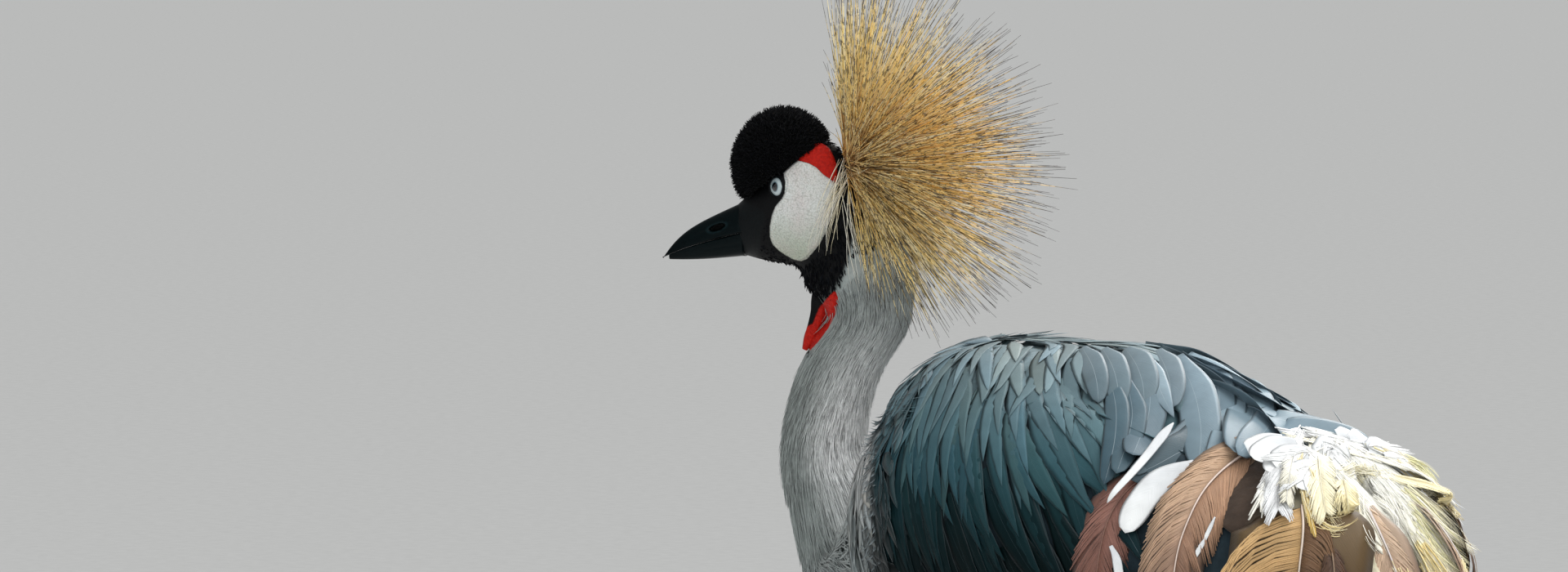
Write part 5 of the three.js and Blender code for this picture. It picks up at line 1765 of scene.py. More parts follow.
coat("coat_ruffle", groups, ruffle_mat, "slate_body")


# ---------------------------------------------------------------- pale loose bristles that hang from the crest over the rear of the cheeks
def hanging(seed, count):
    g = np.random.default_rng(seed)
    groups = []
    k = 9
    v = np.linspace(0, 1, k)
    for s in (1, -1):
        a = H(g.normal(-46, 3.0, count), g.uniform(2, 20, count), s * g.uniform(9, 18, count))
        e = H(g.normal(-36, 4.5, count), g.uniform(-40, -10, count), s * g.uniform(25, 30, count))
        far = g.random(count) < 0.25
        e = np.where(far[:, None], H(g.normal(-60, 6, count), g.uniform(-60, -35, count), s * g.uniform(24, 30, count)), e)
        bend = s * LEFT * g.uniform(4, 9, count)[:, None]
        P = a[:, None] * (1 - v[None, :, None]) + e[:, None] * v[None, :, None] + bend[:, None] * (4 * v * (1 - v))[None, :, None]
        side = unit(np.cross(e - a, g.normal(0, 1, (count, 3))))
        P = P + side[:, None] * (g.uniform(0.4, 1.6, count)[:, None] * np.sin(g.uniform(0, 6, count)[:, None] + g.uniform(4, 11, count)[:, None] * v[None]) * v[None])[..., None]
        hl = g.uniform(0.18, 0.28, count)
        col = lerp(np.broadcast_to(srgb(255, 253, 244), (count, 3)), srgb(246, 232, 190), g.random(count) * 0.8)[:, None] * np.ones((1, k, 1))
        groups.append(dict(P=P, N=np.repeat(side[:, None], k, 1), half=hl, shape=lambda v: np.maximum(1 - 0.7 * v**1.6, 0.1), lift=np.zeros((count, k)), camber=np.zeros(count), thick=hl * 1.4, across=2, tint=col, rnd=g.random(count) * 0.3, length=np.linalg.norm(e - a, axis=1),
                           root_uv=np.stack([0.73 + 0.1 * g.random(count), 0.50 + (0.03 if s > 0 else 0.0) + 0.02 * g.random(count)], -1)))
    return groups


coat("crest_hanging", hanging(88, 44), strand_material("hanging_bristle", 0.45, 0.35, 0.1, 0.2), "crest_bristle")


# ---------------------------------------------------------------- cores of the folded wings and the plume mass, under the feathers; the plume core's front is painted dark as shade
core_mat, core_nt, core_bsdf = new_material("core_down_and_shade", 0.8, 0.2, 0.2)
_n = Nodes(core_nt)
_c = _n.noise(vec=_n.object_coords(), scale=160.0, detail=4.0)
_t = _n.tint("tint").outputs["Color"]
_n.link(_n.mix(1.0, _t, _n.ramp(_c, [(0.3, (0.6, 0.6, 0.6)), (0.7, (1, 1, 1))]), "MULTIPLY"), core_bsdf.inputs["Base Color"])
_n.link(_n.bump(_c, 0.5, 0.002), core_bsdf.inputs["Normal"])
for s, side in ((1, "left"), (-1, "right")):
    v, q, t = closed_loft(wing_plate(s, -5.5, 90, 56))
    tint = np.broadcast_to(SLATE_LOW * 0.55, v.shape)
    uvw = np.stack([(0.73 if s > 0 else 0.86) + (v[:, 0] + 110) / 460 * 0.12, 0.02 + (v[:, 2] - 380) / 230 * 0.05], -1)
    piece("wing_core_" + side, v, core_mat, "wing_feather", ["wing_" + side], tint=tint, bake=uvw, quads=q, tris=t)
    v, q, t = closed_loft(plume_plate(s, -6.0, 70, 50))
    # the plume core: dark brown at its front as painted shade in the gap between the brown and the white feathers,
    # cream at the rear under the white plumes, brown at its lower end
    tint = lerp(lerp(np.broadcast_to(srgb(70, 56, 46), v.shape), srgb(224, 216, 188), smooth(188, 206, v[:, 0])), srgb(96, 76, 56), smooth(500, 450, v[:, 2]))
    piece("plume_core_" + side, v, core_mat, "plume_feather", ["plumes_" + side], tint=tint, bake=uvw[:1] + (v[:, [0, 2]] - [110, 370]) * 0.0002, quads=q, tris=t)


# ---------------------------------------------------------------- large feathers made of a shaft and separate barbs
def curve(points, k):
    points = np.asarray(points, float)
    d = np.concatenate([[0], np.cumsum(np.linalg.norm(np.diff(points, axis=0), axis=1))])
    t = np.interp(np.linspace(0, d[-1], k), d, np.arange(len(points)))
    return soften(spline(points, t)[None], 2)[0], d[-1]


def big_feather(points, half, out, base, tip, seed, angle=34.0, fray=0.12, step=1.15, shape=blunt, hook=0.3, cup=0.16, shaft=(0.75, 0.7, 0.6), splits=2, sides=(1.0, 1.0), other=None, tear=None, s=1, k=4, stem=0.9, sag=0.0):
    """Groups for one large feather: its shaft, and barbs in a row on each side.
    sides: the two vanes' widths, left then right as the photo shows them; other: root and tip colour of the right vane;
    tear(side, v): how much of the barbs' length is left; sag: how far the barbs' ends droop."""
    g = np.random.default_rng(seed)
    K = 40
    C_, L = curve(points, K)
    T = unit(np.gradient(C_, axis=0))
    N = np.broadcast_to(unit(np.asarray(out, float)), T.shape) if np.ndim(out) == 1 else np.asarray(out)
    N = unit(N - T * (N * T).sum(-1, keepdims=True))
    B = np.cross(N, T)
    groups = []
    groups.append(dict(P=C_[None], N=N[None], half=np.array([stem]), shape=lambda v: np.maximum(1 - 0.8 * v, 0.1), lift=np.full((1, K), 0.9), camber=np.zeros(1), thick=np.array([stem]), across=2,
                       tint=np.broadcast_to(np.asarray(shaft, float), (1, 3)), rnd=g.random(1), length=np.array([L]), root_uv=ground_uv(C_[:1])))
    count = int(L / step)
    sv = np.linspace(0.02, 0.985, count)
    cuts = np.sort(g.uniform(0.25, 0.95, splits * 2))
    for way in (-1, 1):
        side = way * s
        w = half * shape(sv) * sides[0 if way < 0 else 1]
        f = np.linspace(0, 1, k)
        ang = (angle + 5 * g.normal(0, 0.35, count)) * D2R
        # barbs between two splits lean together, so that gaps open at the splits
        mine = cuts[::2] if way < 0 else cuts[1::2]
        group_id = np.searchsorted(mine, sv)
        lean = g.normal(0, 0.10, len(mine) + 1)[group_id]
        ang = ang + lean * smooth(0.0, 1.0, sv)
        reach = w / np.sin(ang) * (1 + g.normal(0, fray * 0.4, count)) * np.where(g.random(count) < fray, g.uniform(0.72, 1.0, count), 1)
        if tear is not None:
            reach = reach * tear(way, sv)
        x = reach[:, None] * (np.sin(ang)[:, None] * f[None] - hook * 0.25 * np.sin(ang)[:, None] * f[None] ** 2)
        y = reach[:, None] * (np.cos(ang)[:, None] * f[None] + hook * 0.35 * f[None] ** 2)
        at = sv[:, None] * L + y
        over = np.maximum(at - L, 0)
        at = np.clip(at, 0, L) / L
        idx = at * (K - 1)
        i0 = np.clip(idx.astype(int), 0, K - 2)
        fr = (idx - i0)[..., None]
        pick = lambda a: a[i0] * (1 - fr) + a[i0 + 1] * fr
        c, t_, n_, b_ = pick(C_), unit(pick(T)), unit(pick(N)), unit(pick(B))
        fall = -cup * x**2 / max(half, 1) + g.normal(0, 0.12, count)[:, None] * f[None] * 2
        P = c + t_ * over[..., None] + b_ * (side * x)[..., None] + n_ * fall[..., None]
        P = P + n_ * (0.5 * np.sin(at * 19 + side) * f[None] * 0.8)[..., None] - UP * (sag * f[None] ** 2)[..., None]
        nn = unit(n_ + b_ * (side * 2 * cup * x / max(half, 1))[..., None])
        c0, c1 = (base, tip) if way < 0 or other is None else other
        col = lerp(np.broadcast_to(c0, (count, 3)), c1, smooth(0.15, 0.95, sv))[:, None] * np.exp(g.normal(0, 0.08, count))[:, None, None]
        band = np.interp(np.arange(count), np.arange(0, count + 6, 6), np.exp(g.normal(0, 0.09, count // 6 + 2))[: len(np.arange(0, count + 6, 6))])
        col = col * (0.82 + 0.24 * f)[None, :, None] * band[:, None, None]
        keep = reach > 1.0
        groups.append(dict(P=P[keep], N=nn[keep], half=np.full(count, step * 0.78)[keep], shape=lambda v: np.maximum(1 - 0.6 * v**3, 0.2), lift=np.zeros((count, k))[keep], camber=np.zeros(count)[keep], thick=np.full(count, 0.35)[keep], across=2, tint=col[keep], rnd=g.random(count)[keep], length=reach[keep], root_uv=ground_uv(c[keep, 0])))
    return groups


def smooth_feather(points, half, out, root, tip, seed, shape=blunt, cup=0.2, lift=0.0, k=24, across=9, thick=0.5, sides=(1.0, 1.0)):
    """One closed-vaned feather, with its barbs in the material."""
    g = np.random.default_rng(seed)
    C_, L = curve(points, k)
    T = unit(np.gradient(C_, axis=0))
    N = np.broadcast_to(unit(np.asarray(out, float)), T.shape)
    N = unit(N - T * (N * T).sum(-1, keepdims=True))
    v = np.linspace(0, 1, k)
    col = lerp(np.broadcast_to(root, (1, k, 3)), tip, smooth(0.1, 0.95, v)[None])
    return dict(P=C_[None], N=N[None], half=np.array([float(half)]), shape=shape, lift=np.full((1, k), float(lift)), camber=np.array([cup * half]), thick=np.array([thick]), across=across, tint=col, rnd=g.random(1), length=np.array([L]), root_uv=ground_uv(C_[:1]))


def side_points(points, s):
    p = np.array(points, float)
    p[:, 1] = p[:, 1] * s
    return p


barb_mat = feather_material("barbed_feather", rough=0.45, barb=0.14, bump=0.35, spec=0.3, sheen=0.08)


def rear_sheet(*xy):
    """Places measured on an enlargement of the photo's rear, 3.4 to its pixel, whose corner is at (1290, 440)."""
    return np.array(xy, float) / 3.4 + np.array([1290.0, 440.0])


MM = 0.1355  # millimetres at the rear to one step of that enlargement


def lobe(v):
    return (0.4 + 0.6 * smooth(-0.05, 0.5, v)) * np.sqrt(np.maximum(1 - np.maximum((v - 0.72) / 0.28, 0) ** 2, 0.0)) * 0.985 + 0.015


def strip(v):
    return np.sqrt(smooth(-0.01, 0.2, v)) * (1.0 - 0.5 * v) * np.sqrt(np.maximum(1 - np.maximum((v - 0.8) / 0.2, 0) ** 2, 0.0)) * 0.985 + 0.015


def full(v):
    return (0.6 + 0.4 * smooth(-0.05, 0.22, v)) * np.sqrt(np.maximum(1 - np.maximum((v - 0.6) / 0.4, 0) ** 2.4, 0.0)) * 0.98 + 0.02


def sword(v):
    return (0.5 + 0.5 * smooth(-0.05, 0.3, v)) * np.maximum(1 - np.maximum((v - 0.45) / 0.55, 0) ** 2, 0.0) ** 0.9 * 0.985 + 0.015


CHESTNUT, CHESTNUT_TIP = srgb(146, 104, 92), srgb(112, 74, 62)
ROSY, ROSY_TIP = srgb(196, 164, 136), srgb(120, 88, 76)
AMBER, AMBER_TIP = srgb(200, 164, 114), srgb(130, 94, 58)
PINK, PINK_TIP = srgb(206, 178, 152), srgb(146, 112, 90)
STEM = srgb(226, 214, 200)


def torn(way, v):
    """The right vane of the broad brown feather is open in tongues below its middle."""
    if way < 0:
        return np.ones_like(v)
    tongue = 0.5 + 0.5 * np.sin(v * 64.0 + 1.0)
    return 1 - smooth(0.36, 0.44, v) * (0.55 - 0.5 * tongue**3 * smooth(0.75, 0.45, v))


for s, name in ((1, "left"), (-1, "right")):
    n0 = 300 if s > 0 else 340
    groups = []
    path = seen(rear_sheet((430, 470), (345, 512), (275, 585), (228, 670), (200, 770), (182, 884), (176, 1000), (190, 1120)), s, 3.0)
    groups += big_feather(path, 132 * MM, facing(-0.35, 0.2, s), CHESTNUT, CHESTNUT_TIP, n0, angle=34, fray=0.1, shaft=srgb(150, 112, 98), stem=0.5, cup=0.2, s=s)
    # a darker copy of this feather's colour under its barbs: painted shade between the barbs
    groups.append(smooth_feather(path, 126 * MM, facing(-0.35, 0.2, s), CHESTNUT * 0.6, CHESTNUT_TIP * 0.6, n0 + 1, cup=0.2, lift=-1.0))
    path = seen(rear_sheet((1300, 610), (1325, 655), (1350, 705), (1378, 765), (1402, 822), (1425, 884), (1448, 960), (1468, 1050), (1480, 1140)), s, 3.2)
    groups += big_feather(path, 112 * MM, facing(0.1, 0.1, s), PINK, PINK_TIP, n0 + 2, angle=32, fray=0.08, shaft=srgb(226, 216, 214), cup=0.16, s=s, sides=(1.0, 0.8))
    # a darker copy of this feather's colour under its barbs: painted shade between the barbs
    groups.append(smooth_feather(path, 104 * MM, facing(0.1, 0.1, s), PINK * 0.62, PINK_TIP * 0.6, n0 + 3, cup=0.16, lift=-1.0))
    path = seen(rear_sheet((1034, 610), (1040, 680), (1036, 760), (1024, 860), (1016, 960), (1014, 1080), (1022, 1200)), s, 4.6)
    groups += big_feather(path, 560 * MM, facing(-0.1, 0.15, s), AMBER, AMBER_TIP, n0 + 4, angle=80, fray=0.06, hook=1.35, step=0.95, shape=full, shaft=srgb(226, 210, 196), cup=0.06, s=s, sides=(1.0, 0.4), other=(srgb(118, 88, 62), srgb(92, 66, 48)), splits=3, k=6)
    # a darker copy of this feather's colour under its barbs: painted shade between the barbs
    groups.append(smooth_feather(path, 300 * MM, facing(-0.1, 0.15, s), AMBER * 0.22, AMBER_TIP * 0.3, n0 + 8, shape=full, cup=0.1, lift=-1.4, sides=(1.0, 0.4)))
    groups += big_feather(seen(rear_sheet((1150, 760), (1165, 850), (1170, 960), (1165, 1080), (1160, 1180)), s, 2.4), 110 * MM, facing(0.1, 0.1, s), srgb(84, 60, 44), srgb(64, 44, 34), n0 + 5, angle=34, fray=0.2, shaft=srgb(150, 126, 104), stem=0.6, s=s)
    coat("rear_brown_" + name, groups, barb_mat, "wing_feather")

    groups = []
    path = seen(rear_sheet((835, 362), (775, 405), (712, 452), (655, 508), (612, 565), (580, 625), (550, 695), (522, 775), (502, 884), (492, 1000), (490, 1120), (496, 1250)), s, 6.0)
    groups += big_feather(path, 178 * MM, facing(-0.1, 0.15, s), ROSY, ROSY_TIP, n0 + 6, angle=44, fray=0.06, hook=0.7, step=0.95, shape=full, shaft=srgb(232, 212, 200), cup=0.12, s=s, tear=torn, other=(srgb(176, 138, 110), srgb(104, 74, 64)), splits=3)
    # a darker copy of this feather's colour under its barbs: painted shade between the barbs
    groups.append(smooth_feather(path, 120 * MM, facing(-0.1, 0.15, s), ROSY * 0.6, ROSY_TIP * 0.6, n0 + 7, shape=full, cup=0.14, lift=-1.2))
    coat("rear_broad_" + name, groups, barb_mat, "wing_feather")

    # white glimpses in the gaps, the narrow white strip, the round-ended covert and the lobes at the end of the back
    groups, soft = [], []
    white = srgb(246, 247, 247)
    light, shade = srgb(234, 236, 236), srgb(216, 219, 222)
    for path, half, lift, out, shape in (
        (((672, 655), (652, 700), (628, 752)), 9, 3.4, (0, 0), lobe),
        (((640, 735), (612, 780), (584, 830)), 11, 3.4, (0, 0), lobe),
        (((585, 805), (560, 850), (538, 900)), 10, 3.4, (0, 0), lobe),
        (((238, 775), (262, 830), (278, 930)), 20, 4.2, (0, 0), lobe),
        (((500, 262), (452, 318), (400, 385), (345, 450), (288, 512), (248, 556), (222, 598)), 25, 11.5, (-0.3, 0.2), strip),
        (((590, 440), (520, 462), (448, 502), (392, 556), (348, 618), (316, 672), (298, 722)), 62, 6.5, (-0.25, 0.2), lobe),
        (((1030, 262), (975, 282), (918, 308), (868, 348), (832, 402)), 60, 9.5, (-0.2, 0.35), lobe),
        (((960, 262), (890, 300), (832, 342), (786, 386)), 40, 9.0, (-0.2, 0.35), lobe),
        (((1090, 252), (1050, 278), (1010, 316), (965, 362), (925, 408)), 76, 10.0, (0.0, 0.35), lobe),
        (((1140, 256), (1108, 286), (1078, 336), (1052, 402), (1034, 470)), 82, 9.0, (0.1, 0.3), lobe),
        (((1200, 268), (1190, 310), (1176, 380), (1160, 460)), 78, 7.5, (0.2, 0.3), lobe),
        (((1040, 250), (985, 300), (945, 345), (915, 400), (900, 445)), 56, 10.4, (-0.1, 0.3), lobe),
    ):
        line = seen(rear_sheet(*path), s, lift, k=10, bend=2, slope=0.5)
        if path[0][0] > 900:
            line = settle(line, 3.5, 8.0 if lift > 8 else 6.0)
            if s < 0 and line[:, 1].min() < 8:
                continue
        if path[0][0] > 1060:
            soft += big_feather(line[:-2] + UP * 0.6, half * MM, facing(*out, s), white, white, n0 + 60 + len(groups), angle=30, fray=0.08, step=0.8, shape=lobe, shaft=white, stem=0.4, s=s, cup=0.06)
        groups.append(smooth_feather(line, half * MM, facing(*out, s), shade, light, n0 + 10 + len(groups), shape=shape, cup=0.08, thick=0.3))
    coat("rear_white_" + name, groups, feather_material("white_vane_" + name, rough=0.55, shaft=0.2, shaft_colour=tuple(srgb(236, 236, 232)), barb=0.1, bump=0.35, spec=0.2, sheen=0.05), "plume_feather")

    # the loose white feathers that hang over the brown ones, and the straw-yellow tuft beside them
    groups = soft
    hang = srgb(246, 247, 248)
    groups += big_feather(seen(rear_sheet((1025, 280), (985, 340), (958, 410), (945, 480), (938, 550), (935, 625)), s, 8.5), 66 * MM, facing(-0.1, 0.2, s), hang, hang, n0 + 30, angle=26, fray=0.22, step=0.9, shaft=hang, stem=0.6, shape=lobe, s=s)
    groups += big_feather(seen(rear_sheet((1035, 300), (1010, 370), (992, 440), (978, 510), (968, 590)), s, 9.5), 40 * MM, facing(0.1, 0.2, s), hang, srgb(238, 234, 216), n0 + 31, angle=22, fray=0.35, step=1.0, shaft=hang, stem=0.5, shape=lobe, s=s)
    groups += big_feather(seen(rear_sheet((940, 400), (905, 470), (882, 530), (862, 590)), s, 8.0), 30 * MM, facing(-0.2, 0.1, s), hang, srgb(238, 236, 226), n0 + 32, angle=18, fray=0.5, step=1.3, shaft=hang, stem=0.4, s=s)
    straw = srgb(250, 240, 204) if s > 0 else srgb(250, 249, 242)
    groups += big_feather(seen(rear_sheet((1095, 300), (1100, 380), (1108, 470), (1120, 560), (1134, 640)), s, 6.5), 70 * MM, facing(0.0, 0.1, s), srgb(252, 249, 232), straw, n0 + 33, angle=28, fray=0.12, step=1.0, shaft=srgb(250, 244, 220), stem=0.7, s=s)
    groups += big_feather(seen(rear_sheet((1035, 380), (1030, 440), (1042, 520), (1062, 620), (1090, 740)), s, 8.0), 18 * MM, facing(0.1, 0.1, s), srgb(242, 226, 168) if s > 0 else white, srgb(214, 180, 100) if s > 0 else white, n0 + 34, angle=12, fray=0.2, step=1.0, shaft=srgb(246, 232, 184), stem=0.8, shape=sword, s=s)
    groups += big_feather(seen(rear_sheet((1150, 330), (1180, 420), (1205, 500), (1222, 580), (1228, 640)), s, 6.0), 60 * MM, facing(0.1, 0.1, s), srgb(248, 242, 214), srgb(242, 226, 172), n0 + 35, angle=24, fray=0.16, step=1.1, shaft=srgb(246, 238, 206), stem=0.5, s=s)
    coat("rear_loose_" + name, groups, barb_mat, "plume_feather")


# ---------------------------------------------------------------- broad slate feathers where the back ends
slate_end = feather_material("end_feather", rough=0.45, shaft=0.42, shaft_colour=tuple(srgb(176, 188, 194)), barb=0.1, bump=0.3, spec=0.25, sheen=0.03, rim=0.35, shaft_mix=0.8)
for s, name in ((1, "left"), (-1, "right")):
    groups = []
    # root and tip colours of each feather, lighter on the upper feathers and darker on the lower ones: partly the
    # coat's own tone, partly painted light from above and painted shade below
    for path, half, lift, out, c0, c1 in (
        (((700, 180), (640, 290), (560, 366), (450, 430), (310, 494)), 84, 4.0, (-0.1, 0.1), (75, 94, 103), (82, 101, 110)),
        (((640, 180), (590, 258), (520, 334), (430, 400), (325, 474)), 52, 5.0, (-0.2, 0.1), (115, 133, 143), (96, 115, 124)),
        (((700, 300), (690, 360), (672, 420), (650, 470)), 60, 4.0, (0.1, 0.0), (50, 64, 73), (43, 55, 61)),
        (((940, 170), (925, 230), (882, 292), (822, 344), (765, 392)), 78, 7.0, (0.15, 0.15), (138, 160, 173), (126, 147, 159)),
        (((820, 60), (838, 150), (826, 230), (796, 300), (752, 372)), 108, 7.8, (0.05, 0.15), (147, 171, 183), (124, 145, 157)),
        (((728, 60), (748, 150), (740, 230), (708, 320), (646, 440)), 62, 9.0, (-0.05, 0.1), (157, 180, 193), (131, 153, 165)),
        (((515, -20), (572, 96), (604, 200), (614, 300), (602, 450)), 92, 8.5, (-0.1, 0.1), (152, 174, 187), (115, 136, 147)),
        (((620, -20), (668, 60), (690, 140), (690, 230), (668, 320)), 74, 7.4, (0.0, 0.1), (147, 169, 182), (110, 131, 143)),
        (((300, -45), (345, 20), (372, 100), (378, 180)), 78, 6.6, (-0.1, 0.1), (138, 157, 167), (112, 131, 140)),
        (((205, -45), (245, 25), (268, 110), (272, 190)), 66, 6.2, (-0.1, 0.1), (134, 153, 163), (104, 124, 133)),
        (((120, -50), (160, 20), (182, 100), (188, 180)), 58, 5.8, (-0.1, 0.1), (132, 151, 161), (98, 118, 127)),
        (((430, -40), (470, 40), (488, 120), (492, 200)), 72, 7.2, (-0.1, 0.1), (140, 158, 168), (118, 136, 146)),
        (((400, 0), (438, 110), (470, 180), (503, 242)), 44, 9.5, (-0.1, 0.1), (166, 187, 198), (147, 168, 180)),
        (((400, 90), (404, 180), (384, 270), (350, 350), (330, 396)), 76, 6.5, (-0.1, 0.1), (115, 136, 147), (96, 117, 129)),
        (((300, 80), (330, 190), (322, 290), (292, 390), (262, 474)), 64, 6.0, (-0.2, 0.1), (101, 124, 136), (75, 99, 110)),
        (((230, 60), (262, 190), (258, 320), (236, 430), (210, 520)), 56, 5.6, (-0.2, 0.1), (94, 119, 131), (61, 87, 99)),
        (((560, -20), (670, 46), (770, 112), (870, 180), (1002, 270)), 46, 10.5, (0.1, 0.3), (173, 195, 208), (168, 190, 203)),
        (((700, 40), (820, 112), (910, 166), (980, 192), (1040, 204)), 40, 10.0, (0.3, 0.5), (166, 188, 201), (157, 179, 191)),
    ):
        if s < 0 and path[-1][0] > 1000:
            continue
        line = settle(seen(rear_sheet(*path), s, lift, k=12, bend=2), 4.0, 11.0)
        if s < 0:
            line[:, 1] = np.maximum(line[:, 1], 6)
        groups.append(smooth_feather(line, half * MM, facing(*out, s), srgb(*c0) * 0.78, srgb(*c1) * 0.78, 900 + len(groups), shape=sword if half < 50 else blunt, cup=0.14, thick=0.4, across=11))
    coat("scapular_ends_" + name, groups, slate_end, "slate_body")


# ---------------------------------------------------------------- the white and cream dome of plumes, and the wisps at its outer edge
DOME_EDGE = rear_sheet((1010, 200), (1020, 300), (1040, 400), (1185, 480), (1260, 600), (1395, 700), (1470, 800), (1530, 900), (1570, 1050), (1590, 1300))


def plume_mask(m, n):
    x, y, z = m[:, 0], m[:, 1], m[:, 2]
    at = shown(np.where((y > 22)[:, None], m * np.array([1, -1, 1.0]), m))
    right = at[:, 0] > np.interp(at[:, 1], DOME_EDGE[:, 1], DOME_EDGE[:, 0])
    return (x > 143) & (z > 425) & (np.abs(y) < 66) & (n @ np.array([0.75, 0, 0.66]) > -0.05) & right


def plume_flow(p, n):
    y = p[..., 1]
    aim = np.stack([np.full(y.shape, 0.8), 0.004 * y, np.full(y.shape, -0.85)], -1)
    return unit(aim - n * (aim * n).sum(-1, keepdims=True))


def plume_tint(P):
    f = smooth(566, 470, P[..., 2])
    mid_white, cream, pale = srgb(252, 252, 249), srgb(252, 248, 232), srgb(248, 238, 204)
    return lerp(lerp(np.broadcast_to(mid_white, P.shape), cream, np.clip(f * 1.5, 0, 1)), pale, np.clip(f * 1.6 - 0.9, 0, 1))


plume_mat = strand_material("plume_strand", 0.55, 0.2, 0.1, 0.1)
plume_vane = feather_material("plume_vane", rough=0.55, shaft=0.12, shaft_colour=tuple(srgb(240, 236, 222)), barb=0.1, bump=0.4, spec=0.2, sheen=0.06)
roots, _ = scatter(GROUND, 5000, lambda p: 4.6 + 0 * p[..., 0], plume_mask, 20)
g = np.random.default_rng(19)
length, half = g.uniform(28, 42, len(roots)), g.uniform(4.5, 7.0, len(roots))
grp = laid(GROUND, roots, length, half, 6, flow=plume_flow, shape=lobe, across=5, base=0.5, rise=0.7, camber=1.0, thick=0.3, wander=0.08, seed=18, roll=0.05)
grp["tint"] = plume_tint(grp["P"]) * np.exp(g.normal(0, 0.05, len(roots)))[:, None, None]
coat("rear_dome_vanes", [grp], plume_vane, "plume_feather")
roots, _ = scatter(GROUND, 26000, lambda p: 1.5 + 0 * p[..., 0], plume_mask, 21)
roots = roots[:4600]
g = np.random.default_rng(22)
n_p = len(roots)
length = g.uniform(22, 44, n_p)
half = g.uniform(0.35, 0.7, n_p)
grp = laid(GROUND, roots, length, half, 6, flow=plume_flow, shape=lambda v: np.maximum(1 - v**2.0, 0.1), across=2, base=1.4, rise=1.6, camber=0.0, thick=0.5, wander=0.07, seed=23, roll=0.4)
v = np.linspace(0, 1, 6)
grp["tint"] = plume_tint(grp["P"]) * np.exp(g.normal(0, 0.06, n_p))[:, None, None]
coat("rear_dome", [grp], plume_mat, "plume_feather")


def wisps(specs, seed, s=1, half=(0.22, 0.4), k=9):
    """Loose filaments: each spec is places of root, bend and tip in the photo, their scatter, a count, two colours and a lift."""
    g = np.random.default_rng(seed)
    v = np.linspace(0, 1, k)
    groups = []
    for a, b, c, spread, count, c0, c1, lift in specs:
        a, b, c = (rear_sheet(x)[0] for x in (a, b, c))
        A = a + g.normal(0, 1, (count, 2)) * spread[0] / 3.4
        C2 = c + g.normal(0, 1, (count, 2)) * spread[1] / 3.4
        B2 = b + (A - a + C2 - c) * 0.5 + g.normal(0, 1, (count, 2)) * spread[1] / 8
        q = A[:, None] * ((1 - v) ** 2)[None, :, None] + 2 * B2[:, None] * (v * (1 - v))[None, :, None] + C2[:, None] * (v**2)[None, :, None]
        keys = np.array([a, b * 0.5 + (a + c) * 0.25, c])
        _, t = reach_of(keys[:, 0], keys[:, 1])
        fit = np.polyval(np.polyfit([0, 0.5, 1], t, 2), v)
        d = sight(q[..., 0].ravel(), q[..., 1].ravel()).reshape(count, k, 3)
        P = VIEW_FROM + d * (fit[None] - lift - g.normal(0, 2.0, count)[:, None] * (0.3 + v)[None])[..., None]
        side = unit(np.cross(P[:, -1] - P[:, 0], g.normal(0, 1, (count, 3))))
        P = P + side[:, None] * (g.uniform(0.1, 0.9, count)[:, None] * np.sin(g.uniform(0, 6, count)[:, None] + g.uniform(3, 7, count)[:, None] * v[None]) * v[None])[..., None]
        P = P * np.array([1.0, s, 1.0])
        hl = g.uniform(*half, count)
        col = lerp(np.broadcast_to(c0, (count, 3)), c1, g.random(count))[:, None] * np.exp(g.normal(0, 0.1, count))[:, None, None] * np.ones((1, k, 1))
        groups.append(dict(P=P, N=np.repeat(side[:, None], k, 1), half=hl, shape=lambda v: np.maximum(1 - 0.85 * v**1.5, 0.1), lift=np.zeros((count, k)), camber=np.zeros(count), thick=hl * 1.2, across=2, tint=col, rnd=g.random(count), length=np.linalg.norm(P[:, -1] - P[:, 0], axis=1), root_uv=ground_uv(P[:, 0])))
    return groups


GOLD, PALE_YEL, LIME, IVORY = srgb(240, 216, 146), srgb(252, 245, 214), srgb(232, 230, 182), srgb(254, 252, 244)
near_tuft = [
    ((1075, 590), (1150, 700), (1262, 640), (14, 16), 26, GOLD, PALE_YEL, 7.0),
    ((1085, 650), (1165, 770), (1275, 660), (12, 14), 26, GOLD, PALE_YEL, 7.0),
    ((1100, 560), (1170, 640), (1240, 590), (16, 18), 22, PALE_YEL, IVORY, 7.0),
    ((1070, 470), (1110, 620), (1180, 700), (16, 20), 26, PALE_YEL, GOLD, 7.5),
    ((1020, 420), (1030, 540), (1075, 680), (10, 12), 20, GOLD, PALE_YEL, 8.5),
    ((1210, 430), (1300, 480), (1390, 450), (16, 18), 12, IVORY, PALE_YEL, 6.0),
    ((1260, 560), (1262, 720), (1340, 800), (14, 12), 16, PALE_YEL, IVORY, 6.0),
]
cream_edge = [
    ((1190, 400), (1290, 560), (1420, 700), (26, 24), 150, IVORY, IVORY, 5.5),
    ((1290, 480), (1400, 640), (1500, 840), (28, 24), 160, IVORY, PALE_YEL, 5.5),
    ((1380, 600), (1470, 740), (1540, 900), (22, 14), 120, IVORY, IVORY, 4.5),
    ((1500, 860), (1540, 960), (1570, 1080), (18, 26), 80, PALE_YEL, IVORY, 4.0),
    ((1440, 900), (1500, 1010), (1530, 1120), (22, 26), 70, PALE_YEL, GOLD, 4.0),
]
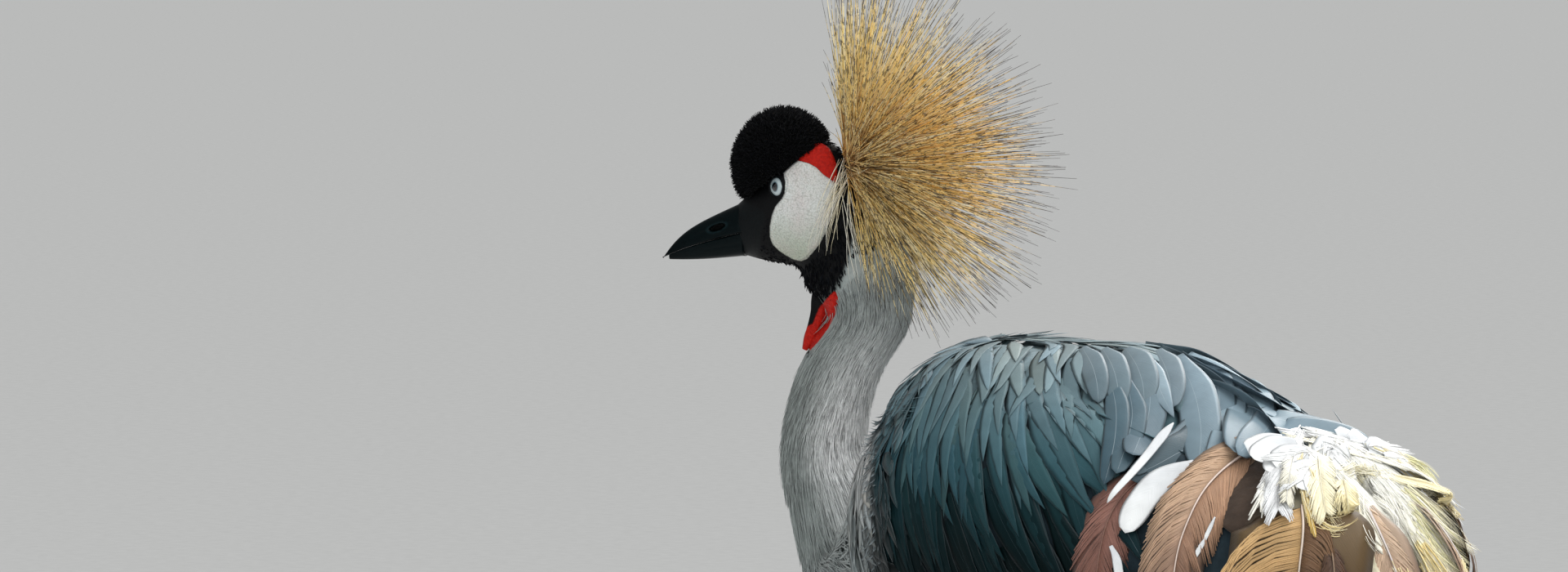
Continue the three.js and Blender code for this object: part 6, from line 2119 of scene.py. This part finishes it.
outer = [
    ((1390, 420), (1500, 385), (1585, 500), (14, 14), 34, LIME, PALE_YEL, 2.0),
    ((1400, 440), (1500, 450), (1570, 560), (14, 16), 30, LIME, PALE_YEL, 2.0),
    ((1430, 470), (1520, 550), (1590, 650), (14, 14), 34, PALE_YEL, LIME, 2.0),
    ((1450, 560), (1580, 640), (1700, 790), (20, 20), 46, PALE_YEL, LIME, 2.0),
    ((1470, 600), (1610, 700), (1745, 800), (18, 12), 44, PALE_YEL, IVORY, 1.5),
    ((1490, 640), (1600, 740), (1710, 850), (20, 18), 46, LIME, PALE_YEL, 1.5),
    ((1510, 700), (1590, 800), (1680, 910), (20, 24), 44, PALE_YEL, LIME, 1.5),
    ((1530, 780), (1600, 880), (1660, 1000), (18, 26), 44, PALE_YEL, GOLD, 1.5),
    ((1540, 860), (1590, 960), (1640, 1100), (16, 26), 40, PALE_YEL, GOLD, 1.5),
]
coat("rear_wisps_left", wisps(near_tuft, 520) + wisps(cream_edge, 521) + wisps(outer, 522, half=(0.3, 0.55)), plume_mat, "plume_feather")
coat("rear_wisps_right", wisps(near_tuft, 530, -1) + wisps(cream_edge, 531, -1), plume_mat, "plume_feather")


# ---------------------------------------------------------------- flight feathers and tail
def fan_feathers(starts, ends, bows, halfs, outs, base, tip, seed, mat, name, slot, replaces=(), step=2.2):
    groups = []
    for i, (a, b, bow, h, o) in enumerate(zip(starts, ends, bows, halfs, outs)):
        a, b, bow = (np.array(x, float) for x in (a, b, bow))
        pts = [a * (1 - f) + b * f + bow * 4 * f * (1 - f) for f in np.linspace(0, 1, 6)]
        groups += big_feather(pts, h, o, base, tip, seed + i, angle=30, fray=0.06, step=step, cup=0.12, shaft=base * 0.5 + 0.02, splits=1)
    return coat(name, groups, mat, slot, replaces)


for s, side in ((1, "left"), (-1, "right")):
    n_f = 7
    f = np.linspace(0, 1, n_f)
    st = [(130 + 12 * x, s * (-103 + 6 * x), 478 - 30 * x) for x in f]
    en = [(300 + 28 * x, s * (-50 + 12 * x), 404 - 16 * x) for x in f]
    fan_feathers(st, en, [(0, s * -10, 4)] * n_f, [13] * n_f, [(0.15, -0.95 * s, 0.2)] * n_f, srgb(38, 38, 42), srgb(24, 24, 27), 600, barb_mat, "primaries_" + side, "wing_feather")
    n_f = 9
    f = np.linspace(0, 1, n_f)
    st = [(20 + 110 * x, s * (-124 + 10 * x), 462 - 4 * x) for x in f]
    en = [(150 + 120 * x, s * (-108 + 44 * x), 424 - 14 * x) for x in f]
    fan_feathers(st, en, [(0, s * -8, 2)] * n_f, [14] * n_f, [(0.05, -0.98 * s, 0.1)] * n_f, srgb(110, 78, 66), srgb(84, 54, 44), 640, barb_mat, "secondaries_" + side, "wing_feather")
    n_f = 11
    f = np.linspace(0, 1, n_f)
    st = [(-66 + 150 * x, s * (-118 - 10 * math.sin(math.pi * x)), 478 - 3 * x) for x in f]
    en = [(14 + 150 * x, s * (-121 - 3 * math.sin(math.pi * x) + 8 * x), 438 - 2 * x) for x in f]
    fan_feathers(st, en, [(0, s * -6, 1)] * n_f, [11] * n_f, [(0.0, -0.98 * s, 0.15)] * n_f, srgb(206, 208, 206), srgb(226, 222, 204), 680, barb_mat, "coverts_" + side, "wing_feather", step=1.6)

n_f = 12
f = np.linspace(-1, 1, n_f)
st = [(186, 12 * x, 444 + 3 * (1 - abs(x))) for x in f]
en = [(344 - 14 * abs(x), 40 * x, 350 + 7 * (1 - abs(x))) for x in f]
fan_feathers(st, en, [(0, 6 * x, 10) for x in f], [17] * n_f, [(0.35, 0.25 * x, 0.95) for x in f], srgb(30, 31, 34), srgb(20, 20, 22), 720, barb_mat, "tail_feathers", "tail_feather", ["tail"])
under = tube([[186, 0, 442, 18, 6], [228, 0, 421, 28, 6], [276, 0, 392, 32, 4], [316, 0, 366, 26, 3]], (0, 1, 0), 40, 30)[0]
v, q, t = closed_loft(under)
piece("tail_core", v, core_mat, "tail_feather", tint=np.broadcast_to(srgb(26, 27, 30), v.shape), bake=np.stack([0.73 + v[:, 1] * 0.001, 0.55 + v[:, 0] * 0.0001], -1), quads=q, tris=t)


# ---------------------------------------------------------------- floor, light and camera
def stage():
    me = bpy.data.meshes.new("studio_floor")
    r = 90.0
    me.from_pydata([(-r, -r, 0), (r, -r, 0), (r, r, 0), (-r, r, 0)], [], [(0, 1, 2, 3)])
    mat, nt, bsdf = new_material("floor_mat", 0.85, 0.2)
    n = Nodes(nt)
    grain = n.noise(vec=n.object_coords(), scale=60.0, detail=4.0)
    n.link(n.ramp(grain, [(0.3, (0.60, 0.60, 0.59)), (0.7, (0.64, 0.64, 0.63))]), bsdf.inputs["Base Color"])
    me.materials.append(mat)
    floor = bpy.data.objects.new("studio_floor", me)
    bpy.context.scene.collection.objects.link(floor)
    world = bpy.data.worlds.new("studio")
    bpy.context.scene.world = world
    world.use_nodes = True
    bg = world.node_tree.nodes["Background"]
    bg.inputs["Color"].default_value = (0.80, 0.82, 0.83, 1)
    bg.inputs["Strength"].default_value = 0.40


def area(name, at, aim, size, power, colour=(1, 1, 1)):
    li = bpy.data.lights.new(name, "AREA")
    li.shape = "DISK"
    li.size = size
    li.energy = power
    li.color = colour
    ob = bpy.data.objects.new(name, li)
    at, aim = Vector(to_world(at)), Vector(to_world(aim))
    ob.location = at
    ob.rotation_euler = (aim - at).to_track_quat("-Z", "Y").to_euler()
    bpy.context.scene.collection.objects.link(ob)


CAM_C = np.array([0.695, -0.719, 0.0])
CAM_R = np.array([0.719, 0.695, 0.0])


def camera():
    el, dist = 3.5 * D2R, 4500.0
    target = CAM_R * -177.6 + np.array([0, 0, 647.8])
    at = target + dist * (CAM_C * math.cos(el) + UP * math.sin(el))
    f = unit(target - at)
    up = np.cross(CAM_R / np.linalg.norm(CAM_R), f)
    r = np.cross(f, up)
    cam = bpy.data.cameras.new("photo_angle")
    cam.lens = 36.0 * 9375 / 1920
    cam.sensor_width = 36.0
    cam.clip_start = 0.1
    cam.clip_end = 250
    ob = bpy.data.objects.new("photo_angle", cam)
    m = np.eye(4)
    m[:3, 0], m[:3, 1], m[:3, 2], m[:3, 3] = r, up, -f, to_world(at)
    ob.matrix_world = Matrix(m.tolist())
    bpy.context.scene.collection.objects.link(ob)
    bpy.context.scene.camera = ob


bpy.context.scene.view_settings.view_transform = "Standard"
stage()
mid = np.array([-20.0, 0.0, 560.0])
sky = bpy.data.lights.new("sky", "SUN")
sky.energy = 1.7
sky.angle = 60 * D2R
sky_at = bpy.data.objects.new("sky", sky)
sky_at.rotation_euler = Vector(tuple(CAM_R * 0.5 + CAM_C * 0.12 + UP)).to_track_quat("Z", "Y").to_euler()
bpy.context.scene.collection.objects.link(sky_at)
area("key", mid + CAM_C * 900 + CAM_R * 900 + UP * 2000, mid, 2.2, 22, (1.0, 0.99, 0.96))
area("back", mid - CAM_C * 1500 + CAM_R * 900 + UP * 1100, mid + UP * 60, 1.2, 26, (1.0, 0.99, 0.97))
area("fill", mid + CAM_C * 2200 - CAM_R * 250 + UP * 900, mid, 2.2, 20, (0.97, 0.99, 1.0))
camera()

print("COUNTS", sum(COUNTS.values()), COUNTS)
